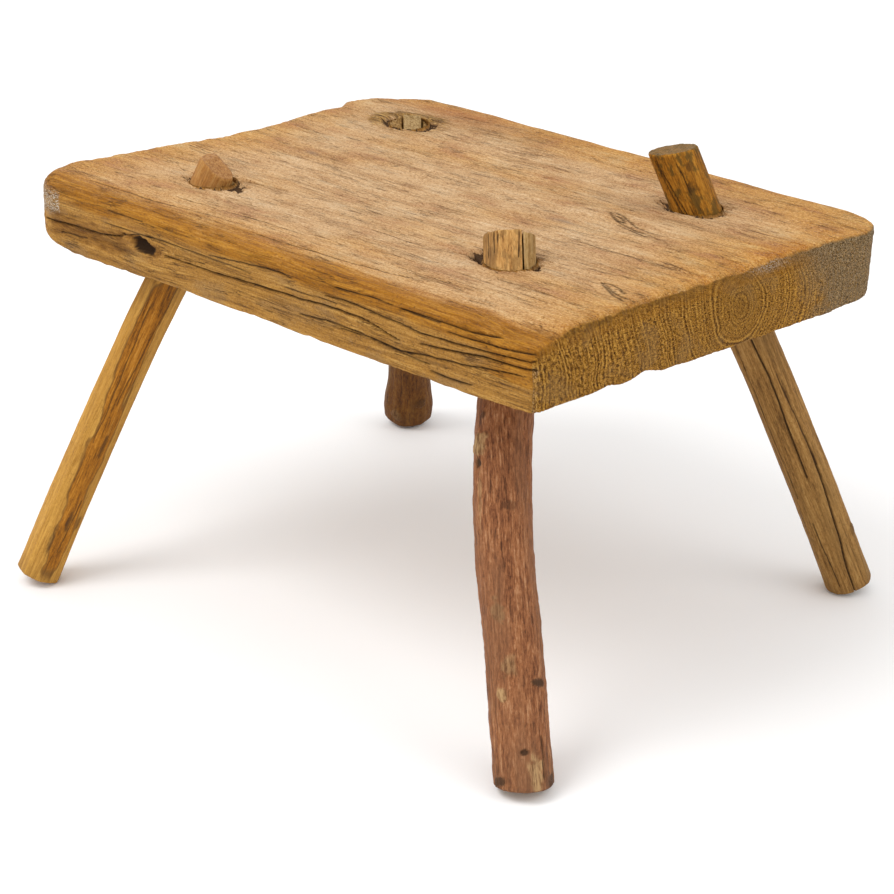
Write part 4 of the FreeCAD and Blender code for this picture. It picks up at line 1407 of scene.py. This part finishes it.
LOOKS = {
    "tan": {
        "mottle": 0.3, "mottle_tone": (0.30, 0.150, 0.050),
        "speck_scale": (0.25, 0.7, 0.7), "speck_share": 0.15, "speck_bump": 0.3,
        "check_width": 0.012, "check_gate": 0.58, "check_share": 0.35,
        "tones": (
            (0.40, (0.288, 0.128, 0.019)), (0.47, (0.440, 0.219, 0.039)),
            (0.53, (0.528, 0.275, 0.053)), (0.61, (0.641, 0.360, 0.080)),
        ),
        "patch": 0.35, "patch_tone": (0.378, 0.175, 0.024),
        "tenon_tones": (
            (0.40, (0.220, 0.085, 0.018)), (0.50, (0.370, 0.165, 0.040)),
            (0.60, (0.500, 0.280, 0.088)),
        ),
        "cap_tones": ((0.36, (0.22, 0.09, 0.03)), (0.62, (0.46, 0.24, 0.09))),
        "shade_and_grime_tone": (0.15, 0.075, 0.022), "crack_tone": (0.060, 0.028, 0.010), "roughness": (0.50, 0.72),
    },
    "bark": {
        "mottle": 0.45, "mottle_tone": (0.170, 0.095, 0.030),
        "speck_scale": (0.11, 0.72, 0.72), "speck_share": 0.4, "speck_bump": 1.4,
        "check_width": 0.012, "check_gate": 0.60, "check_share": 0.35,
        "tones": (
            (0.41, (0.077, 0.027, 0.010)), (0.47, (0.204, 0.072, 0.028)),
            (0.53, (0.315, 0.125, 0.048)), (0.60, (0.473, 0.241, 0.118)),
        ),
        "patch": 0.5, "patch_tone": (0.228, 0.102, 0.047),
        "tenon_tones": (
            (0.40, (0.211, 0.095, 0.024)), (0.46, (0.446, 0.225, 0.064)),
            (0.53, (0.570, 0.310, 0.098)), (0.61, (0.694, 0.416, 0.153)),
        ),
        "cap_tones": ((0.36, (0.280, 0.142, 0.042)), (0.62, (0.520, 0.314, 0.105))),
        "shade_and_grime_tone": (0.115, 0.060, 0.030), "crack_tone": (0.045, 0.022, 0.010), "roughness": (0.52, 0.75),
    },
    "grey": {
        "mottle": 0.75, "mottle_tone": (0.095, 0.058, 0.012),
        "speck_scale": (0.22, 0.9, 0.9), "speck_share": 0.2, "speck_bump": 0.35,
        "check_width": 0.012, "check_gate": 0.50, "check_share": 0.5,
        "tones": (
            (0.40, (0.118, 0.055, 0.013)), (0.47, (0.240, 0.118, 0.031)),
            (0.53, (0.333, 0.174, 0.049)), (0.61, (0.446, 0.258, 0.084)),
        ),
        "patch": 0.4, "patch_tone": (0.220, 0.120, 0.036),
        "tenon_tones": (
            (0.40, (0.084, 0.034, 0.003)), (0.46, (0.240, 0.095, 0.008)),
            (0.53, (0.396, 0.168, 0.017)), (0.61, (0.552, 0.268, 0.036)),
        ),
        "cap_tones": ((0.36, (0.085, 0.048, 0.015)), (0.64, (0.260, 0.162, 0.063))),
        "shade_and_grime_tone": (0.085, 0.045, 0.018), "crack_tone": (0.030, 0.014, 0.006), "roughness": (0.60, 0.84),
    },
    "dark": {
        "mottle": 0.5, "mottle_tone": (0.110, 0.055, 0.015),
        "speck_scale": (0.25, 0.6, 0.6), "speck_share": 0.3, "speck_bump": 0.5,
        "check_width": 0.016, "check_gate": 0.55, "check_share": 0.45,
        "tones": (
            (0.40, (0.051, 0.017, 0.004)), (0.47, (0.107, 0.038, 0.007)),
            (0.53, (0.154, 0.059, 0.011)), (0.61, (0.220, 0.099, 0.021)),
        ),
        "patch": 0.4, "patch_tone": (0.131, 0.065, 0.016),
        "tenon_tones": (
            (0.34, (0.14, 0.070, 0.018)), (0.50, (0.30, 0.165, 0.050)),
            (0.66, (0.44, 0.275, 0.10)),
        ),
        "cap_tones": ((0.36, (0.13, 0.060, 0.015)), (0.62, (0.42, 0.250, 0.085))),
        "shade_and_grime_tone": (0.060, 0.028, 0.012), "crack_tone": (0.022, 0.010, 0.005), "roughness": (0.52, 0.76),
    },
    "shim": {
        "mottle": 0.3, "mottle_tone": (0.20, 0.130, 0.055),
        "speck_scale": (0.25, 0.9, 0.9), "speck_share": 0.2, "speck_bump": 0.3,
        "check_width": 0.02, "check_gate": 0.50, "check_share": 0.5,
        "tones": (
            (0.34, (0.120, 0.065, 0.022)), (0.50, (0.300, 0.185, 0.075)),
            (0.66, (0.450, 0.310, 0.150)),
        ),
        "patch": 0.3, "patch_tone": (0.24, 0.160, 0.070),
        "tenon_tones": (
            (0.40, (0.138, 0.068, 0.018)), (0.46, (0.322, 0.182, 0.055)),
            (0.53, (0.443, 0.275, 0.105)), (0.61, (0.552, 0.374, 0.170)),
        ),
        "cap_tones": ((0.36, (0.16, 0.090, 0.030)), (0.62, (0.44, 0.300, 0.140))),
        "shade_and_grime_tone": (0.10, 0.055, 0.022), "crack_tone": (0.035, 0.018, 0.008), "roughness": (0.62, 0.85),
    },
}


# ---------------------------------------------------------------- build


finish_piece(make_plank(), "seat_slab", plank_material())
make_stick("left", stick_material("tan_stick", LOOKS["tan"]))
make_stick("front", stick_material("bark_brown_stick", LOOKS["bark"]))
make_stick("right", stick_material("grey_brown_stick", LOOKS["grey"]))
make_stick("rear", stick_material("dark_brown_stick", LOOKS["dark"]))

shim = stick_material("shim_wood", LOOKS["shim"])
LEFT_SHIM, FRONT_SHIM = arc_corners(13.3, 180, 8.7), arc_corners(15.3, 90, 6.9)
block("shim_left_piece", "left", LEFT_SHIM, (-25.0, 3.0, 0.97, 0.1, 0.25), 71, "shim_left", shim)
block("shim_front_piece", "front", FRONT_SHIM, (-29.0, 13.4, 0.97, 0.0, -0.05), 72, "shim_front", shim)
WEDGE = [(-10.5, -8.6), (10.5, -8.6), (10.5, 3.6), (-10.5, 3.6)]
block("wedge_rear_piece", "rear", WEDGE, (-33.0, -2.2, 0.75, 0.02, 0.06), 73, "wedge_rear", shim)


# ---------------------------------------------------------------- floor, light, camera


def make_floor():
    shape = bmesh.new()
    size = 6.0
    spots = [(-size, -size, 0), (size, -size, 0), (size, size, 0), (-size, size, 0)]
    shape.faces.new([shape.verts.new(spot) for spot in spots])
    mesh = as_mesh(shape, "floor")
    floor = new_piece("floor", mesh)
    s = Shader("pale_floor")
    place = s.tree.nodes.new("ShaderNodeTexCoord").outputs["Object"]
    tone = s.noise(s.stretch(place, (3.0, 3.0, 3.0)), detail=2.0)
    pale = s.mix(tone, (0.93, 0.93, 0.93), (0.95, 0.95, 0.95))
    mesh.materials.append(s.surface(pale, 0.9, tone, 0.0001, 0.1))


def area_light(name, place, target, size, power):
    data = bpy.data.lights.new(name, "AREA")
    data.shape, data.size, data.energy = "DISK", size, power
    lamp = bpy.data.objects.new(name, data)
    bpy.context.scene.collection.objects.link(lamp)
    lamp.location = place
    lamp.rotation_mode = "QUATERNION"
    lamp.rotation_quaternion = (Vector(target) - Vector(place)).to_track_quat("-Z", "Y")


make_floor()
middle = (CAD_BOX[0] + CAD_BOX[1]) / 2
area_light("key", (-0.6, -1.3, 2.2), middle, 1.4, 26.0)
area_light("fill", (1.9, 0.6, 1.7), middle, 1.6, 9.0)

world = bpy.data.worlds.new("studio")
world.use_nodes = True
sky = world.node_tree.nodes["Background"]
sky.inputs["Color"].default_value = (1.0, 1.0, 1.0, 1.0)
sky.inputs["Strength"].default_value = 1.0
bpy.context.scene.world = world
bpy.context.scene.view_settings.view_transform = "Standard"
bpy.context.scene.view_settings.look = "None"

camera_data = bpy.data.cameras.new("camera")
camera_data.lens, camera_data.sensor_width = 97.29, 36.0
camera = bpy.data.objects.new("camera", camera_data)
bpy.context.scene.collection.objects.link(camera)
camera.location = (1.01168, -1.04286, 0.72980)
pitch = math.radians(23.51)
aim = Vector((-0.6942 * math.cos(pitch), 0.7198 * math.cos(pitch), -math.sin(pitch)))
camera.rotation_mode = "QUATERNION"
camera.rotation_quaternion = aim.to_track_quat("-Z", "Y")
bpy.context.scene.camera = camera
